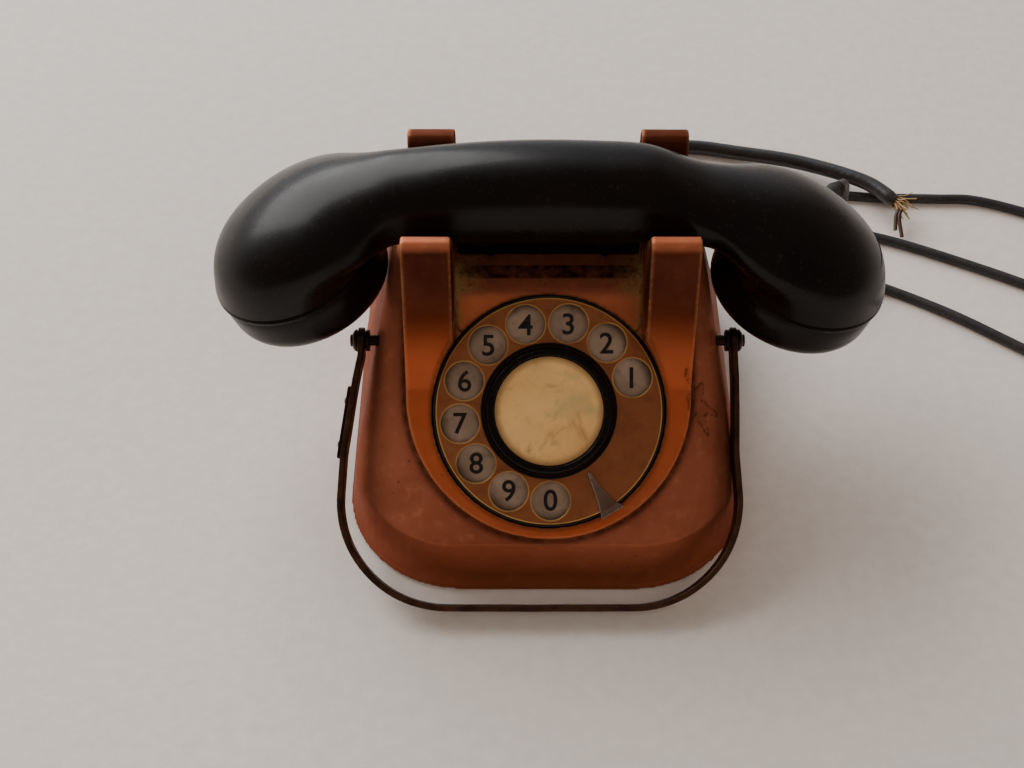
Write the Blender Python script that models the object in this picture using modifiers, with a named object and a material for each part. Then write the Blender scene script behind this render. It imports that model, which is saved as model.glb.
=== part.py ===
"""Desk telephone with a rotary dial, a four-horn cradle and a swinging carrying bail.

Lengths are millimetres, the scene is metres. X is to the right of a person dialling, Y runs
to the back, Z is up. The origin is the middle of the raised panel under the base plate.
Heights are counted from the table, which is FOOT_H lower, and the root empty takes that off.
"""
import math
import bpy
import bmesh
from mathutils import Matrix, Vector

MM = 0.001
SIDES = ((-1, "left"), (1, "right"))

# ------------------------------------------------------- dimensions shared by several pieces
FOOT_H = 4.0                    # the feet hold the base plate this far off the table
GAP = 0.3                       # clearance under the handset caps and round the cords

LIP_Z, CREASE_Z, TOP_Z = 0.9, 24.0, 83.5
CREASE_FRONT, TOP_FRONT = -80.0, -8.0
HOUSING = (                     # z, half width, front y, rear y, corner radius
    (LIP_Z, 72.8, -83.8, 83.4, 43.0),
    (CREASE_Z, 69.5, CREASE_FRONT, 79.5, 38.0),
    (TOP_Z, 55.0, TOP_FRONT, 29.0, 16.0))
CORNER_STEPS = 6

# the dial frame: its origin is on the finger wheel's face, its Z stands off the slope
SLOPE = math.atan2(TOP_Z - CREASE_Z, TOP_FRONT - CREASE_FRONT)
DIAL_C = (0.0, -48.0, 58.5)

HANDLE_Y, HANDLE_Z = 4.8, 111.8             # centre of the handset's grip, and of its seat
HOOK_Y = 5.6
PLUNGER_X = 20.0
BAIL_Y, BAIL_Z = -15.0, 58.0                # the bail's pivots

LINE_R, THIN_R = 3.3, 2.15
CORD_Z = 12.5
CORD_HOLES = {"line": (-4.0, LINE_R), "lead": (12.0, THIN_R), "handset": (26.0, THIN_R)}  # x, r

# ------------------------------------------------------------------------------- materials
BLACK = (0.012, 0.010, 0.010)
BRASS = (0.50, 0.38, 0.16)
SPRING_METAL = (0.52, 0.45, 0.30)
FINISHES = {                    # base colour, roughness, metallic
    "housing_shell": ((0.26, 0.085, 0.036), 0.38, 0.9),
    "base_plate": ((0.05, 0.05, 0.052), 0.5, 0.8),
    "rubber_foot": ((0.02, 0.018, 0.017), 0.85, 0.0),
    "case_screw": ((0.25, 0.24, 0.22), 0.35, 1.0),
    "ringer_frame": ((0.30, 0.29, 0.26), 0.4, 1.0),
    "bell_gong": ((0.45, 0.33, 0.14), 0.3, 1.0),
    "bell_post": ((0.35, 0.33, 0.30), 0.4, 1.0),
    "ringer_coil": ((0.20, 0.03, 0.02), 0.6, 0.0),
    "clapper": ((0.40, 0.36, 0.30), 0.4, 1.0),
    "capacitor_can": ((0.32, 0.33, 0.33), 0.35, 0.9),
    "induction_coil": ((0.16, 0.09, 0.03), 0.7, 0.0),
    "terminal_block": ((0.07, 0.035, 0.02), 0.5, 0.0),
    "terminal_screw": ((0.55, 0.42, 0.18), 0.3, 1.0),
    "hook_bar": (BLACK, 0.35, 0.0),
    "hook_plunger": ((0.40, 0.38, 0.34), 0.35, 1.0),
    "hook_lever": ((0.42, 0.40, 0.36), 0.4, 1.0),
    "switch_bracket": ((0.34, 0.33, 0.30), 0.45, 1.0),
    "contact_springs": (SPRING_METAL, 0.3, 1.0),
    "dial_case": ((0.03, 0.028, 0.026), 0.5, 0.6),
    "number_plate": ((0.42, 0.38, 0.33), 0.45, 0.6),
    "finger_wheel": ((0.20, 0.11, 0.055), 0.34, 1.0),
    "dial_spindle": ((0.35, 0.34, 0.32), 0.35, 1.0),
    "centre_ring": (BLACK, 0.18, 0.0),
    "label_card": ((0.52, 0.30, 0.11), 0.8, 0.0),
    "label_window": ((0.85, 0.80, 0.65), 0.12, 0.0),
    "main_gear": (BRASS, 0.35, 1.0),
    "return_spring": ((0.12, 0.13, 0.16), 0.35, 1.0),
    "dial_frame": ((0.48, 0.40, 0.24), 0.4, 1.0),
    "pulse_cam": (BRASS, 0.35, 1.0),
    "governor_rotor": ((0.50, 0.40, 0.20), 0.35, 1.0),
    "governor_cup": ((0.36, 0.33, 0.28), 0.4, 1.0),
    "pulse_contacts": (SPRING_METAL, 0.3, 1.0),
    "finger_stop": ((0.55, 0.53, 0.50), 0.18, 1.0),
    "carrying_bail": ((0.11, 0.060, 0.038), 0.45, 0.9),
    "bail_pivot": ((0.06, 0.045, 0.038), 0.45, 0.9),
    "handset_grip": (BLACK, 0.16, 0.0),
    "handset_cap": (BLACK, 0.18, 0.0),
    "capsule": ((0.35, 0.34, 0.33), 0.35, 0.9),
    "cord_boot": ((0.02, 0.018, 0.018), 0.5, 0.0),
    "cord_grommet": ((0.02, 0.018, 0.018), 0.7, 0.0),
    "line_cord": ((0.015, 0.015, 0.016), 0.3, 0.0),
    "thin_lead": ((0.02, 0.02, 0.021), 0.45, 0.0),
    "handset_cord": ((0.02, 0.02, 0.021), 0.45, 0.0),
}


def make_material(name, colour, roughness, metallic):
    made = bpy.data.materials.new(name + "_material")
    made.use_nodes = True
    shader = made.node_tree.nodes["Principled BSDF"]
    shader.inputs["Base Color"].default_value = (*colour, 1.0)
    shader.inputs["Roughness"].default_value = roughness
    shader.inputs["Metallic"].default_value = metallic
    made.diffuse_color = (*colour, 1.0)
    return made


# ----------------------------------------------------------------------------- empty scene
for old in list(bpy.data.objects):
    bpy.data.objects.remove(old, do_unlink=True)

MATERIALS = {name: make_material(name, *look) for name, look in FINISHES.items()}
parts = bpy.data.collections.new("carrying_bail_telephone")
cutters = bpy.data.collections.new("cutters")
for group in (parts, cutters):
    bpy.context.scene.collection.children.link(group)
root = bpy.data.objects.new("table_level", None)
root.location = (0, 0, -FOOT_H * MM)
parts.objects.link(root)


# ------------------------------------------------------------------------- making objects
def put(obj, finish=None, parent=None, matrix=None):
    """Link and place an object. One without a finish is a hidden helper for booleans.

    The shape functions below pass their **placing arguments on to this one.
    """
    if finish:
        parts.objects.link(obj)
        obj.data.materials.append(MATERIALS[finish])
    else:
        cutters.objects.link(obj)
        obj.hide_render = True
        obj.display_type = 'WIRE'
    obj.parent = parent or root
    if matrix is not None:
        obj.matrix_local = matrix
    return obj


def axis(name, place, rotation=(0, 0, 0), parent=None):
    """An empty that carries the pieces moving together."""
    made = bpy.data.objects.new(name, None)
    parts.objects.link(made)
    made.location = Vector(place) * MM
    made.rotation_euler = rotation
    made.empty_display_size = 0.02
    made.parent = parent or root
    return made


def at(x, y, z=0.0):
    return Matrix.Translation(Vector((x, y, z)) * MM)


def smooth(obj, angle=35.0):
    obj.data.shade_smooth()
    obj.data.set_sharp_from_angle(angle=math.radians(angle))
    return obj


def face_out(bm):
    """Turn the faces outwards, judged by the sign of the volume."""
    if bm.calc_volume(signed=True) < 0:
        bmesh.ops.reverse_faces(bm, faces=bm.faces)


def solid(name, bm, **placing):
    face_out(bm)
    mesh = bpy.data.meshes.new(name)
    bm.to_mesh(mesh)
    bm.free()
    return put(bpy.data.objects.new(name, mesh), **placing)


def box(name, low, high, **placing):
    bm = bmesh.new()
    bmesh.ops.create_cube(bm, size=1.0)
    for vert in bm.verts:
        vert.co = Vector([(low[i] if vert.co[i] < 0 else high[i]) * MM for i in range(3)])
    return solid(name, bm, **placing)


def rod(name, start, end, radius, segs, end_radius=None, **placing):
    """A cylinder or cone from start to end."""
    start, end = Vector(start) * MM, Vector(end) * MM
    along = end - start
    bm = bmesh.new()
    bmesh.ops.create_cone(bm, cap_ends=True, segments=segs, radius1=radius * MM,
                          radius2=(radius if end_radius is None else end_radius) * MM,
                          depth=along.length)
    turn = Vector((0, 0, 1)).rotation_difference(along).to_matrix().to_4x4()
    bm.transform(Matrix.Translation((start + end) / 2) @ turn)
    return smooth(solid(name, bm, **placing))


def ball(name, centre, radius, **placing):
    bm = bmesh.new()
    bmesh.ops.create_uvsphere(bm, u_segments=12, v_segments=8, radius=radius * MM)
    bmesh.ops.translate(bm, vec=Vector(centre) * MM, verts=bm.verts)
    return smooth(solid(name, bm, **placing))


def loft(name, rings, **placing):
    """A skin over rings with equal numbers of points, capped at both ends."""
    bm = bmesh.new()
    made = [[bm.verts.new(Vector(point) * MM) for point in ring] for ring in rings]
    for ring, following in zip(made, made[1:]):
        n = len(ring)
        for i in range(n):
            j = (i + 1) % n
            bm.faces.new((ring[i], ring[j], following[j], following[i]))
    bm.faces.new(made[0][::-1])
    bm.faces.new(made[-1])
    return solid(name, bm, **placing)


def turned(name, profile, segs, closed=False, **placing):
    """A turned shape about local Z: the profile (radius, z) runs down its outer side."""
    count = len(profile)
    edges = [(i, i + 1) for i in range(count - 1)]
    if closed:
        edges.append((count - 1, 0))
    mesh = bpy.data.meshes.new(name)
    mesh.from_pydata([(radius * MM, 0.0, z * MM) for radius, z in profile], edges, [])
    obj = put(bpy.data.objects.new(name, mesh), **placing)
    screw = obj.modifiers.new("turn", 'SCREW')
    screw.axis = 'Z'
    screw.steps = segs
    screw.render_steps = segs
    screw.use_merge_vertices = True
    screw.merge_threshold = 0.00001
    screw.use_smooth_shade = True
    screw.use_normal_calculate = False
    return obj


def add_line(curve, points, closed):
    spline = curve.splines.new('POLY')
    spline.points.add(len(points) - 1)
    for slot, (x, y, z) in zip(spline.points, points):
        slot.co = (x * MM, y * MM, z * MM, 1)
    spline.use_cyclic_u = closed


def curve_solid(name, curve, matrix=Matrix(), **placing):
    """Turn a curve into a welded mesh, placed as the curve would be."""
    holder = bpy.data.objects.new(name + "_curve", curve)
    cutters.objects.link(holder)
    holder.matrix_world = matrix
    bpy.context.view_layer.update()
    graph = bpy.context.evaluated_depsgraph_get()
    mesh = bpy.data.meshes.new_from_object(holder.evaluated_get(graph))
    bm = bmesh.new()
    bm.from_mesh(mesh)
    bmesh.ops.remove_doubles(bm, verts=bm.verts, dist=0.000002)
    bmesh.ops.recalc_face_normals(bm, faces=bm.faces)
    face_out(bm)
    bm.to_mesh(mesh)
    bm.free()
    mesh.name = name
    placed = holder.matrix_world.copy()
    bpy.data.objects.remove(holder, do_unlink=True)
    return put(bpy.data.objects.new(name, mesh), matrix=placed, **placing)


def sheet(name, outlines, z0, z1, matrix=Matrix(), **placing):
    """A flat outline, with any holes as further outlines, between two levels."""
    curve = bpy.data.curves.new(name, 'CURVE')
    curve.dimensions = '2D'
    curve.fill_mode = 'BOTH'
    curve.extrude = abs(z1 - z0) / 2 * MM
    for outline in outlines:
        add_line(curve, [(x, y, 0) for x, y in outline], closed=True)
    middle = Matrix.Translation((0, 0, (z0 + z1) / 2 * MM))
    return curve_solid(name, curve, matrix @ middle, **placing)


def wire(name, points, radius, resolution, **placing):
    curve = bpy.data.curves.new(name, 'CURVE')
    curve.dimensions = '3D'
    curve.bevel_depth = radius * MM
    curve.bevel_resolution = resolution
    curve.use_fill_caps = True
    add_line(curve, points, closed=False)
    return smooth(curve_solid(name, curve, **placing), 50)


def combine(obj, operation, others):
    for other in others:
        modifier = obj.modifiers.new(operation.lower(), 'BOOLEAN')
        modifier.operation = operation
        modifier.object = other
        modifier.solver = 'EXACT'


def cut(obj, *others):
    combine(obj, 'DIFFERENCE', others)


def weld(obj, *others):
    combine(obj, 'UNION', others)


def round_edges(obj, segments):
    bevel = obj.modifiers.new("edges", 'BEVEL')
    bevel.width = 1.2 * MM
    bevel.segments = segments


# ------------------------------------------------------------------------ flat geometry
def lerp(a, b, t):
    return a + (b - a) * t


def polar(radius, degrees):
    angle = math.radians(degrees)
    return (radius * math.cos(angle), radius * math.sin(angle))


def circle(cx, cy, radius, count):
    angles = [2 * math.pi * i / count for i in range(count)]
    return [(cx + radius * math.cos(a), cy + radius * math.sin(a)) for a in angles]


def arc(cx, cy, radius, start, sweep, steps):
    """Points on an arc, both ends included; start and sweep are degrees."""
    spots = [polar(radius, start + sweep * i / steps) for i in range(steps + 1)]
    return [(cx + x, cy + y) for x, y in spots]


def rounded_outline(half_width, front, rear, r):
    """A rectangle with rounded corners, symmetrical about x = 0."""
    x = half_width - r
    corners = ((x, rear - r, 0), (-x, rear - r, 90), (-x, front + r, 180), (x, front + r, 270))
    return [point for cx, cy, start in corners
            for point in arc(cx, cy, r, start, 90, CORNER_STEPS)]


def squared(value, power):
    """A sine or cosine reshaped for a superellipse; power 2 leaves it round."""
    return math.copysign(abs(value) ** (2 / power), value)


def gear(tip_r, root_r, teeth):
    pitch = 2 * math.pi / teeth
    tooth = ((-0.28, root_r), (-0.16, tip_r), (0.16, tip_r), (0.28, root_r))  # share of pitch, r
    points = []
    for i in range(teeth):
        for share, radius in tooth:
            angle = pitch * i + share * pitch
            points.append((radius * math.cos(angle), radius * math.sin(angle)))
    return points


ALONG_Y = Matrix.Rotation(-math.pi / 2, 4, 'X')         # lays a turned shape's Z along Y
# local (x, y, z) -> (z, x, y): stands a (y, z) outline up, its thickness along X
YZ = Matrix(((0, 0, 1, 0), (1, 0, 0, 0), (0, 1, 0, 0), (0, 0, 0, 1)))

# --------------------------------------------------------------------- housing and cradle
WALL_SIDE = 2.0                 # measured level, so the sloping sheet is thinner
WALL_TOP = 1.6
TOP_TAPER = 3.0                 # how much narrower each side is at the very top

# U-shaped surround of the dial, in the dial frame
BAND_FACE = -2.0
BAND_R = 49.3
BAND_UP = 5.0                   # its round end is centred above the dial
BAND_NOTCH = 26.5               # floor of the notch between the horns
NOTCH_R = 4.0
DIAL_HOLE_R = 40.35

HORN_OUT, HORN_IN = BAND_R, 32.6            # x of a cheek's two faces
CHEEK_WALL = 1.7                # measured in the side view
HORN_TIP_Z = 115.6
HORN_REF_Z = 114.0              # height at which the horns' y is given
FRONT_HORN = dict(inward=1, y=-26.3, lean=0.2844)
REAR_HORN = dict(inward=-1, y=34.8, lean=0.22)
# rows of a horn's outer edge: drop below the tip, step inward, share of the inset in z
HORN_OUTER = ((3.4, 0.0, 0.4), (1.2, 0.7, 0.8), (0.0, 2.2, 1.0))
# rows of its inner edge: front horn y, rear horn y, share of inset in y, drop, share in z
HORN_INNER = ((-20.8, 29.2, 0.3, 0.4, 1.0), (-19.2, 27.7, 0.8, 2.4, 0.8),
              (-17.6, 26.0, 1.0, 8.0, 0.0))
SADDLE_HALF_Y, SADDLE_HALF_Z, SADDLE_POWER = 17.7, 16.7, 2.6


def housing_ring(z, inset=0.0, side=0.0):
    """The housing's outline at height z; side narrows it in x only."""
    for low, high in zip(HOUSING, HOUSING[1:]):
        if z <= high[0]:
            break
    t = (z - low[0]) / (high[0] - low[0])
    half_width, front, rear, r = [lerp(a, b, t) for a, b in zip(low[1:], high[1:])]
    outline = rounded_outline(half_width - inset - side, front + inset, rear - inset,
                              max(r - inset * 0.6 - side * 0.4, 4.0))
    return [(x, y, z) for x, y in outline]


def surround_outline(inset=0.0, top=46.0):
    """U-shaped outline in the dial frame, open between the horns."""
    r = BAND_R - inset
    notch_x = HORN_IN + inset
    corner_x = notch_x - NOTCH_R
    corner_y = BAND_NOTCH - inset + NOTCH_R
    return ([(r, top)] + arc(0, BAND_UP, r, 0, -180, 24) + [(-r, top), (-notch_x, top)]
            + arc(-corner_x, corner_y, NOTCH_R, 180, 90, 3)
            + arc(corner_x, corner_y, NOTCH_R, -90, 90, 3) + [(notch_x, top)])


def horn_edge(horn, z, inset):
    """Y of a horn's outer edge at height z."""
    return (horn["y"] - horn["inward"] * (HORN_REF_Z - z) * horn["lean"]
            + horn["inward"] * inset * 1.03)


def horn_tip(horn, inset):
    """Points (y, z) up the outer edge, over the tip and down the inner edge."""
    inward = horn["inward"]
    points = [(horn_edge(horn, HORN_TIP_Z - drop, inset) + inward * step,
               HORN_TIP_Z - drop - inset * share) for drop, step, share in HORN_OUTER]
    for front_y, rear_y, y_share, drop, z_share in HORN_INNER:
        y = front_y if horn is FRONT_HORN else rear_y
        points.append((y - inward * inset * y_share, HORN_TIP_Z - drop - inset * z_share))
    return points


def cheek_outline(inset=0.0):
    """Side outline (y, z) of a cradle cheek with its front and rear horn, or of its hollow."""
    saddle = []
    for i in range(11):
        angle = math.radians(196 + 148 * i / 10)
        saddle.append((
            HANDLE_Y + (SADDLE_HALF_Y + inset) * squared(math.cos(angle), SADDLE_POWER),
            HANDLE_Z + (SADDLE_HALF_Z + inset) * squared(math.sin(angle), SADDLE_POWER)))
    if inset > 0:
        front = [(-23.5, 46.0), (-23.5, 86.0), (horn_edge(FRONT_HORN, 95.0, inset), 95.0)]
        rear = [(horn_edge(REAR_HORN, 64.0, inset), 64.0), (40.0, 46.0)]
    else:
        front = [(horn_edge(FRONT_HORN, 50.0, 0.0), 50.0)]
        rear = [(horn_edge(REAR_HORN, 62.0, 0.0), 62.0), (44.0, 50.0)]
    return (front + horn_tip(FRONT_HORN, inset) + saddle
            + horn_tip(REAR_HORN, inset)[::-1] + rear)


def build_housing():
    """The pressed shell: body, dial surround and cradle cheeks, hollowed and pierced."""
    dial_matrix = at(*DIAL_C) @ Matrix.Rotation(SLOPE, 4, 'X')
    rings = [housing_ring(z) for z in (LIP_Z, 4.0, 14.0, CREASE_Z, 44.0, 64.0, 80.5)]
    rings.append(housing_ring(TOP_Z, side=TOP_TAPER))
    housing = loft("housing_shell", rings, finish="housing_shell")
    weld(housing, sheet("u_face", [surround_outline()], -7.0, BAND_FACE, dial_matrix))
    for side, word in SIDES:
        weld(housing, sheet("cheek_" + word, [cheek_outline()],
                            side * HORN_IN, side * HORN_OUT, YZ))

    mouth = [(x, y, LIP_Z - 3.0) for x, y, _ in housing_ring(LIP_Z, WALL_SIDE)]
    cut(housing,
        loft("housing_void", [mouth, housing_ring(CREASE_Z - 0.2, WALL_SIDE),
                              housing_ring(50.0, WALL_SIDE),
                              housing_ring(TOP_Z - WALL_TOP, WALL_SIDE + 0.6)]),
        sheet("u_void", [surround_outline(1.7, 36.0)], -13.0, BAND_FACE - 1.5, dial_matrix))
    for side, word in SIDES:
        cut(housing, sheet("cheek_void_" + word, [cheek_outline(CHEEK_WALL)],
                           side * (HORN_IN + 1.6), side * (HORN_OUT - 1.6), YZ))

    cut(housing, rod("dial_bore", (0, 0, -16), (0, 0, 24), DIAL_HOLE_R, 48,
                     matrix=dial_matrix))
    for x, r in CORD_HOLES.values():
        cut(housing, rod("cord_hole", (x, 70, CORD_Z), (x, 92, CORD_Z), r + 2.2, 16))
    for side, _ in SIDES:
        x = side * PLUNGER_X
        cut(housing, rod("plunger_hole", (x, HOOK_Y, 76), (x, HOOK_Y, 90), 2.6, 14))
    for side, _ in SIDES:
        cut(housing, rod("pivot_hole", (side * 54, BAIL_Y, BAIL_Z),
                         (side * 66, BAIL_Y, BAIL_Z), 2.4, 14))


# -------------------------------------------------------------------------------- base
SCREW_SPOTS = ((-57, -42), (57, -42), (-57, 42), (57, 42))
FOOT_SPOTS = ((-46, -60), (46, -60), (-46, 60), (46, 60))
FOOT_PROFILE = [(0, 7.2), (1.9, 7.2), (1.9, 3.7), (6.6, 3.7), (7.2, 3.1), (6.4, 0.0), (0, 0.0)]
SCREW_PROFILE = [(0, 11.5), (1.6, 11.0), (1.6, 3.7), (3.2, 3.7), (3.2, 2.6), (2.6, 2.0),
                 (0, 2.0)]


def build_base():
    """The base plate, whose middle stands 0.5 mm proud below, with its feet and screws."""
    outlines = [rounded_outline(69.0, -80.4, 80.0, 40.0)]
    outlines += [circle(x, y, 2.0, 10) for x, y in SCREW_SPOTS]
    outlines += [circle(x, y, 2.3, 10) for x, y in FOOT_SPOTS]
    plate = sheet("base_plate", outlines, FOOT_H + 0.5, FOOT_H + 1.2, finish="base_plate")
    weld(plate, box("plate_panel", (-32, -32, FOOT_H), (32, 32, FOOT_H + 0.9)))
    for name, spots, profile, segs in (("rubber_foot", FOOT_SPOTS, FOOT_PROFILE, 20),
                                       ("case_screw", SCREW_SPOTS, SCREW_PROFILE, 14)):
        for i, (x, y) in enumerate(spots, 1):
            turned("%s_%d" % (name, i), profile, segs, finish=name, matrix=at(x, y))


# ------------------------------------------------------------------------------ ringer
BELL_X, BELL_Y = 21.5, 44.0
GONG_PROFILE = [(3.0, 38.0), (12.0, 37.6), (15.6, 35.6), (17.0, 32.0), (17.2, 26.0),
                (16.0, 26.0), (15.8, 31.8), (14.6, 34.6), (11.6, 36.4), (3.0, 36.8)]
POST_PROFILE = [(0, 40.5), (4.0, 40.5), (4.0, 38.3), (2.5, 38.3), (2.5, 36.0), (4.2, 35.6),
                (4.2, 7.3), (0, 7.3)]
RINGER_COIL_PROFILE = [(0, 12), (8.2, 12), (8.2, 10.8), (7.2, 10.6), (7.2, -10.6),
                       (8.2, -10.8), (8.2, -12), (0, -12)]


def build_ringer():
    frame = box("ringer_frame", (-40, 6, 5.5), (40, 62, 7.0), finish="ringer_frame")
    weld(frame, box("frame_lug", (-19, 7.5, 6.5), (19, 9.0, 27)))
    for side, word in SIDES:
        bell = at(side * BELL_X, BELL_Y)
        turned("bell_gong_" + word, GONG_PROFILE, 20, closed=True, finish="bell_gong",
               matrix=bell)
        turned("bell_post_" + word, POST_PROFILE, 16, finish="bell_post", matrix=bell)
        turned("ringer_coil_" + word, RINGER_COIL_PROFILE, 20, finish="ringer_coil",
               matrix=at(side * 10.5, 22.5, 17) @ ALONG_Y)


def build_clapper():
    pivot = axis("clapper_axis", (0, 37.2, 24))
    armature = box("clapper_armature", (-16, -1.2, -13), (16, 1.0, -6.2),
                   finish="clapper", parent=pivot)
    weld(armature, rod("armature_boss", (0, 0, -8), (0, 0, 10.0), 2.2, 14, parent=pivot))
    hammer = rod("clapper_hammer", (0, 2.6, 7.2), (0, 6.4, 7.2), 0.7, 8,
                 finish="clapper", parent=pivot)
    weld(hammer, ball("hammer_ball", (0, 8.3, 7.2), 2.9, parent=pivot))


# ------------------------------------------------------------- fixed electrical pieces
INDUCTION_COIL_PROFILE = [(0, 18), (10, 18), (10, 16), (8.6, 15.8), (8.6, -15.8), (10, -16),
                          (10, -18), (0, -18)]
TERMINAL_SCREW_PROFILE = [(0, 15.5), (2.2, 15.5), (2.6, 14.9), (2.6, 13.3), (0, 13.3)]


def build_electrical():
    can = box("capacitor_can", (-52, -34, 5.5), (-32, 4, 29), finish="capacitor_can")
    round_edges(can, 1)
    turned("induction_coil", INDUCTION_COIL_PROFILE, 20, finish="induction_coil",
           matrix=at(42, -14, 16) @ ALONG_Y)
    block = box("terminal_block", (-26, -72, 5.5), (26, -58, 13), finish="terminal_block")
    weld(block, box("terminal_ridge", (-25, -66, 12), (25, -64, 16)))
    for i, x in enumerate((-12, 12), 1):
        turned("terminal_screw_%d" % i, TERMINAL_SCREW_PROFILE, 12,
               finish="terminal_screw", matrix=at(x, -69.3))


# ------------------------------------------------------------------------- hook switch
LEVER_Y, LEVER_Z = 26.0, 56.0


def build_hook():
    """The bar between the cheeks, with its two plungers."""
    carrier = axis("hook_bar_axis", (0, HOOK_Y, 91))
    bar = box("hook_bar", (-31.9, -5.6, -5.0), (31.9, 5.6, 3.8), finish="hook_bar",
              parent=carrier)
    round_edges(bar, 2)
    for side, word in SIDES:
        x = side * PLUNGER_X
        rod("hook_plunger_" + word, (x, 0, -34), (x, 0, -5.3), 2.0, 12,
            finish="hook_plunger", parent=carrier)


def build_lever():
    pivot = axis("hook_lever_axis", (0, LEVER_Y, LEVER_Z))
    lever = box("hook_lever", (-24, -24, -0.8), (24, -17.5, 0.7), finish="hook_lever",
                parent=pivot)
    weld(lever, box("lever_arm", (-4, -19, -0.7), (4, -3, 0.6), parent=pivot),
         rod("lever_tube", (-9, 0, 0), (9, 0, 0), 3.2, 14, parent=pivot))
    cut(lever, rod("lever_bore", (-10, 0, 0), (10, 0, 0), 1.6, 12, parent=pivot))


def build_switch():
    """The bracket that carries the lever's pin, and the contact springs."""
    bracket = box("switch_bracket", (-14, 31.5, 50), (14, 33, 66), finish="switch_bracket")
    weld(bracket, box("bracket_ear_left", (-14, 22, 52), (-12.6, 32, 60)),
         box("bracket_ear_right", (12.6, 22, 52), (14, 32, 60)),
         rod("bracket_pin", (-13.2, LEVER_Y, LEVER_Z), (13.2, LEVER_Y, LEVER_Z), 1.3, 12),
         box("bracket_leg", (-1.8, 31.5, 7.3), (1.8, 33, 51)))
    stack = box("contact_springs", (-8, 11, 40), (8, 30.5, 45), finish="contact_springs")
    weld(stack, box("leaf_a", (-6, -2, 41), (-2, 12, 41.5)),
         box("leaf_b", (2, -2, 43.5), (6, 12, 44)))


# ------------------------------------------------------- dial, all in the dial frame
WHEEL_R, WHEEL_T = 39.0, 1.2
HOLE_R = 6.6
HOLE_PITCH_R = 30.9
HOLE_COUNT = 10
HOLE_STEP = 360.0 / 13.0        # degrees
FIRST_HOLE = 21.9               # degrees
CASE_R, CASE_IN = 39.9, 38.7    # outside and inside of the case's rim
CASE_PROFILE = [(CASE_IN, -1.5), (CASE_R, -1.5), (CASE_R, -6.2), (CASE_IN, -6.2),
                (4.6, -6.2), (4.6, -5.0), (CASE_IN, -5.0)]
SPINDLE_R = 3.0
FRAME_BORE_R = 3.4              # bore of the finger wheel and the dial frame
RING_PROFILE = [(19.1, 2.6), (20.6, 2.9), (21.6, 2.2), (22.2, 0.3), (16.5, 0.3),
                (16.5, 0.7), (19.1, 0.7)]
LABEL_R = 18.7
GEAR_Z = (-10.0, -8.4)
SPRING_TURNS, SPRING_STEPS = 3.25, 46
CUP_PROFILE = [(5.0, 4.5), (5.0, -3.0), (1.5, -3.0), (1.5, -2.0), (4.1, -2.0), (4.1, 4.5)]
STOP_ANGLE = -58.0              # degrees
STOP_START_R, STOP_END_R = 25.4, 41.4
STOP_FOOT = ((39.35, -4.2), (40.05, -4.2), (40.05, 3.2), (39.35, 3.2))  # r, degrees from stop


def build_wheel(dial):
    """The finger wheel and what turns with it."""
    wheel = axis("finger_wheel_axis", (0, 0, 0), parent=dial)
    outlines = [circle(0, 0, WHEEL_R, 48)]
    for i in range(HOLE_COUNT):
        x, y = polar(HOLE_PITCH_R, FIRST_HOLE + HOLE_STEP * i)
        outlines.append(circle(x, y, HOLE_R, 14))
    outlines.append(circle(0, 0, FRAME_BORE_R, 16))
    sheet("finger_wheel", outlines, -WHEEL_T, 0.0, finish="finger_wheel", parent=wheel)
    turned("dial_spindle", [(0, 0.1), (SPINDLE_R, 0.1), (SPINDLE_R, -22), (0, -22)], 16,
           finish="dial_spindle", parent=wheel)
    turned("centre_ring", RING_PROFILE, 32, closed=True, finish="centre_ring", parent=wheel)
    for name, top, bottom in (("label_card", 1.3, 1.0), ("label_window", 2.2, 1.6)):
        turned(name, [(0, top), (LABEL_R, top), (LABEL_R, bottom), (0, bottom)], 32,
               finish=name, parent=wheel)
    sheet("main_gear", [gear(15.0, 13.8, 24), circle(0, 0, 3.3, 16)], *GEAR_Z,
          finish="main_gear", parent=wheel)


def build_return_spring(dial):
    """A flat spiral, widening from the spindle."""
    points = []
    for i in range(SPRING_STEPS + 1):
        turn = Matrix.Rotation(2 * math.pi * SPRING_TURNS * i / SPRING_STEPS, 3, 'Z')
        points.append(turn @ Vector((5.2 + 7.0 * i / SPRING_STEPS, 0, -13.6)))
    wire("return_spring", points, 0.6, 0, finish="return_spring", parent=dial)


def build_dial_frame(dial):
    """The rear plate on its three pillars."""
    frame = sheet("dial_frame", [circle(0, 0, 30.0, 36), circle(0, 0, FRAME_BORE_R, 16)],
                  -19.5, -18.0, finish="dial_frame", parent=dial)
    for i, degrees in enumerate((90, 210, 330)):
        x, y = polar(27.0, degrees)
        weld(frame, rod("frame_pillar_%d" % i, (x, y, -18.6), (x, y, -6.5), 2.0, 12,
                        parent=dial))


def build_pulse_cam(dial):
    pivot = axis("pulse_cam_axis", (19.4, 0, 0), parent=dial)
    cam = sheet("pulse_cam", [gear(4.1, 3.2, 8)], *GEAR_Z, finish="pulse_cam", parent=pivot)
    weld(cam, rod("cam_shaft", (0, 0, -17.7), (0, 0, -8.0), 1.3, 12, parent=pivot),
         box("cam_lobes", (-5.4, -1.5, -13.2), (5.4, 1.5, -12.0), parent=pivot))


def build_governor(dial):
    pivot = axis("governor_axis", (0, -22.5, -12.4), parent=dial)
    rotor = rod("governor_rotor", (-9, 0, 0), (10, 0, 0), 1.0, 10,
                finish="governor_rotor", parent=pivot)
    weld(rotor, rod("worm", (-7, 0, 0), (-1, 0, 0), 1.8, 10, parent=pivot),
         box("weight_bar", (4.0, -3.4, -1.0), (6.4, 3.4, 1.0), parent=pivot))
    turned("governor_cup", CUP_PROFILE, 20, closed=True, finish="governor_cup",
           parent=pivot, matrix=at(7.8, 0) @ Matrix.Rotation(-math.pi / 2, 4, 'Y'))


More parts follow.
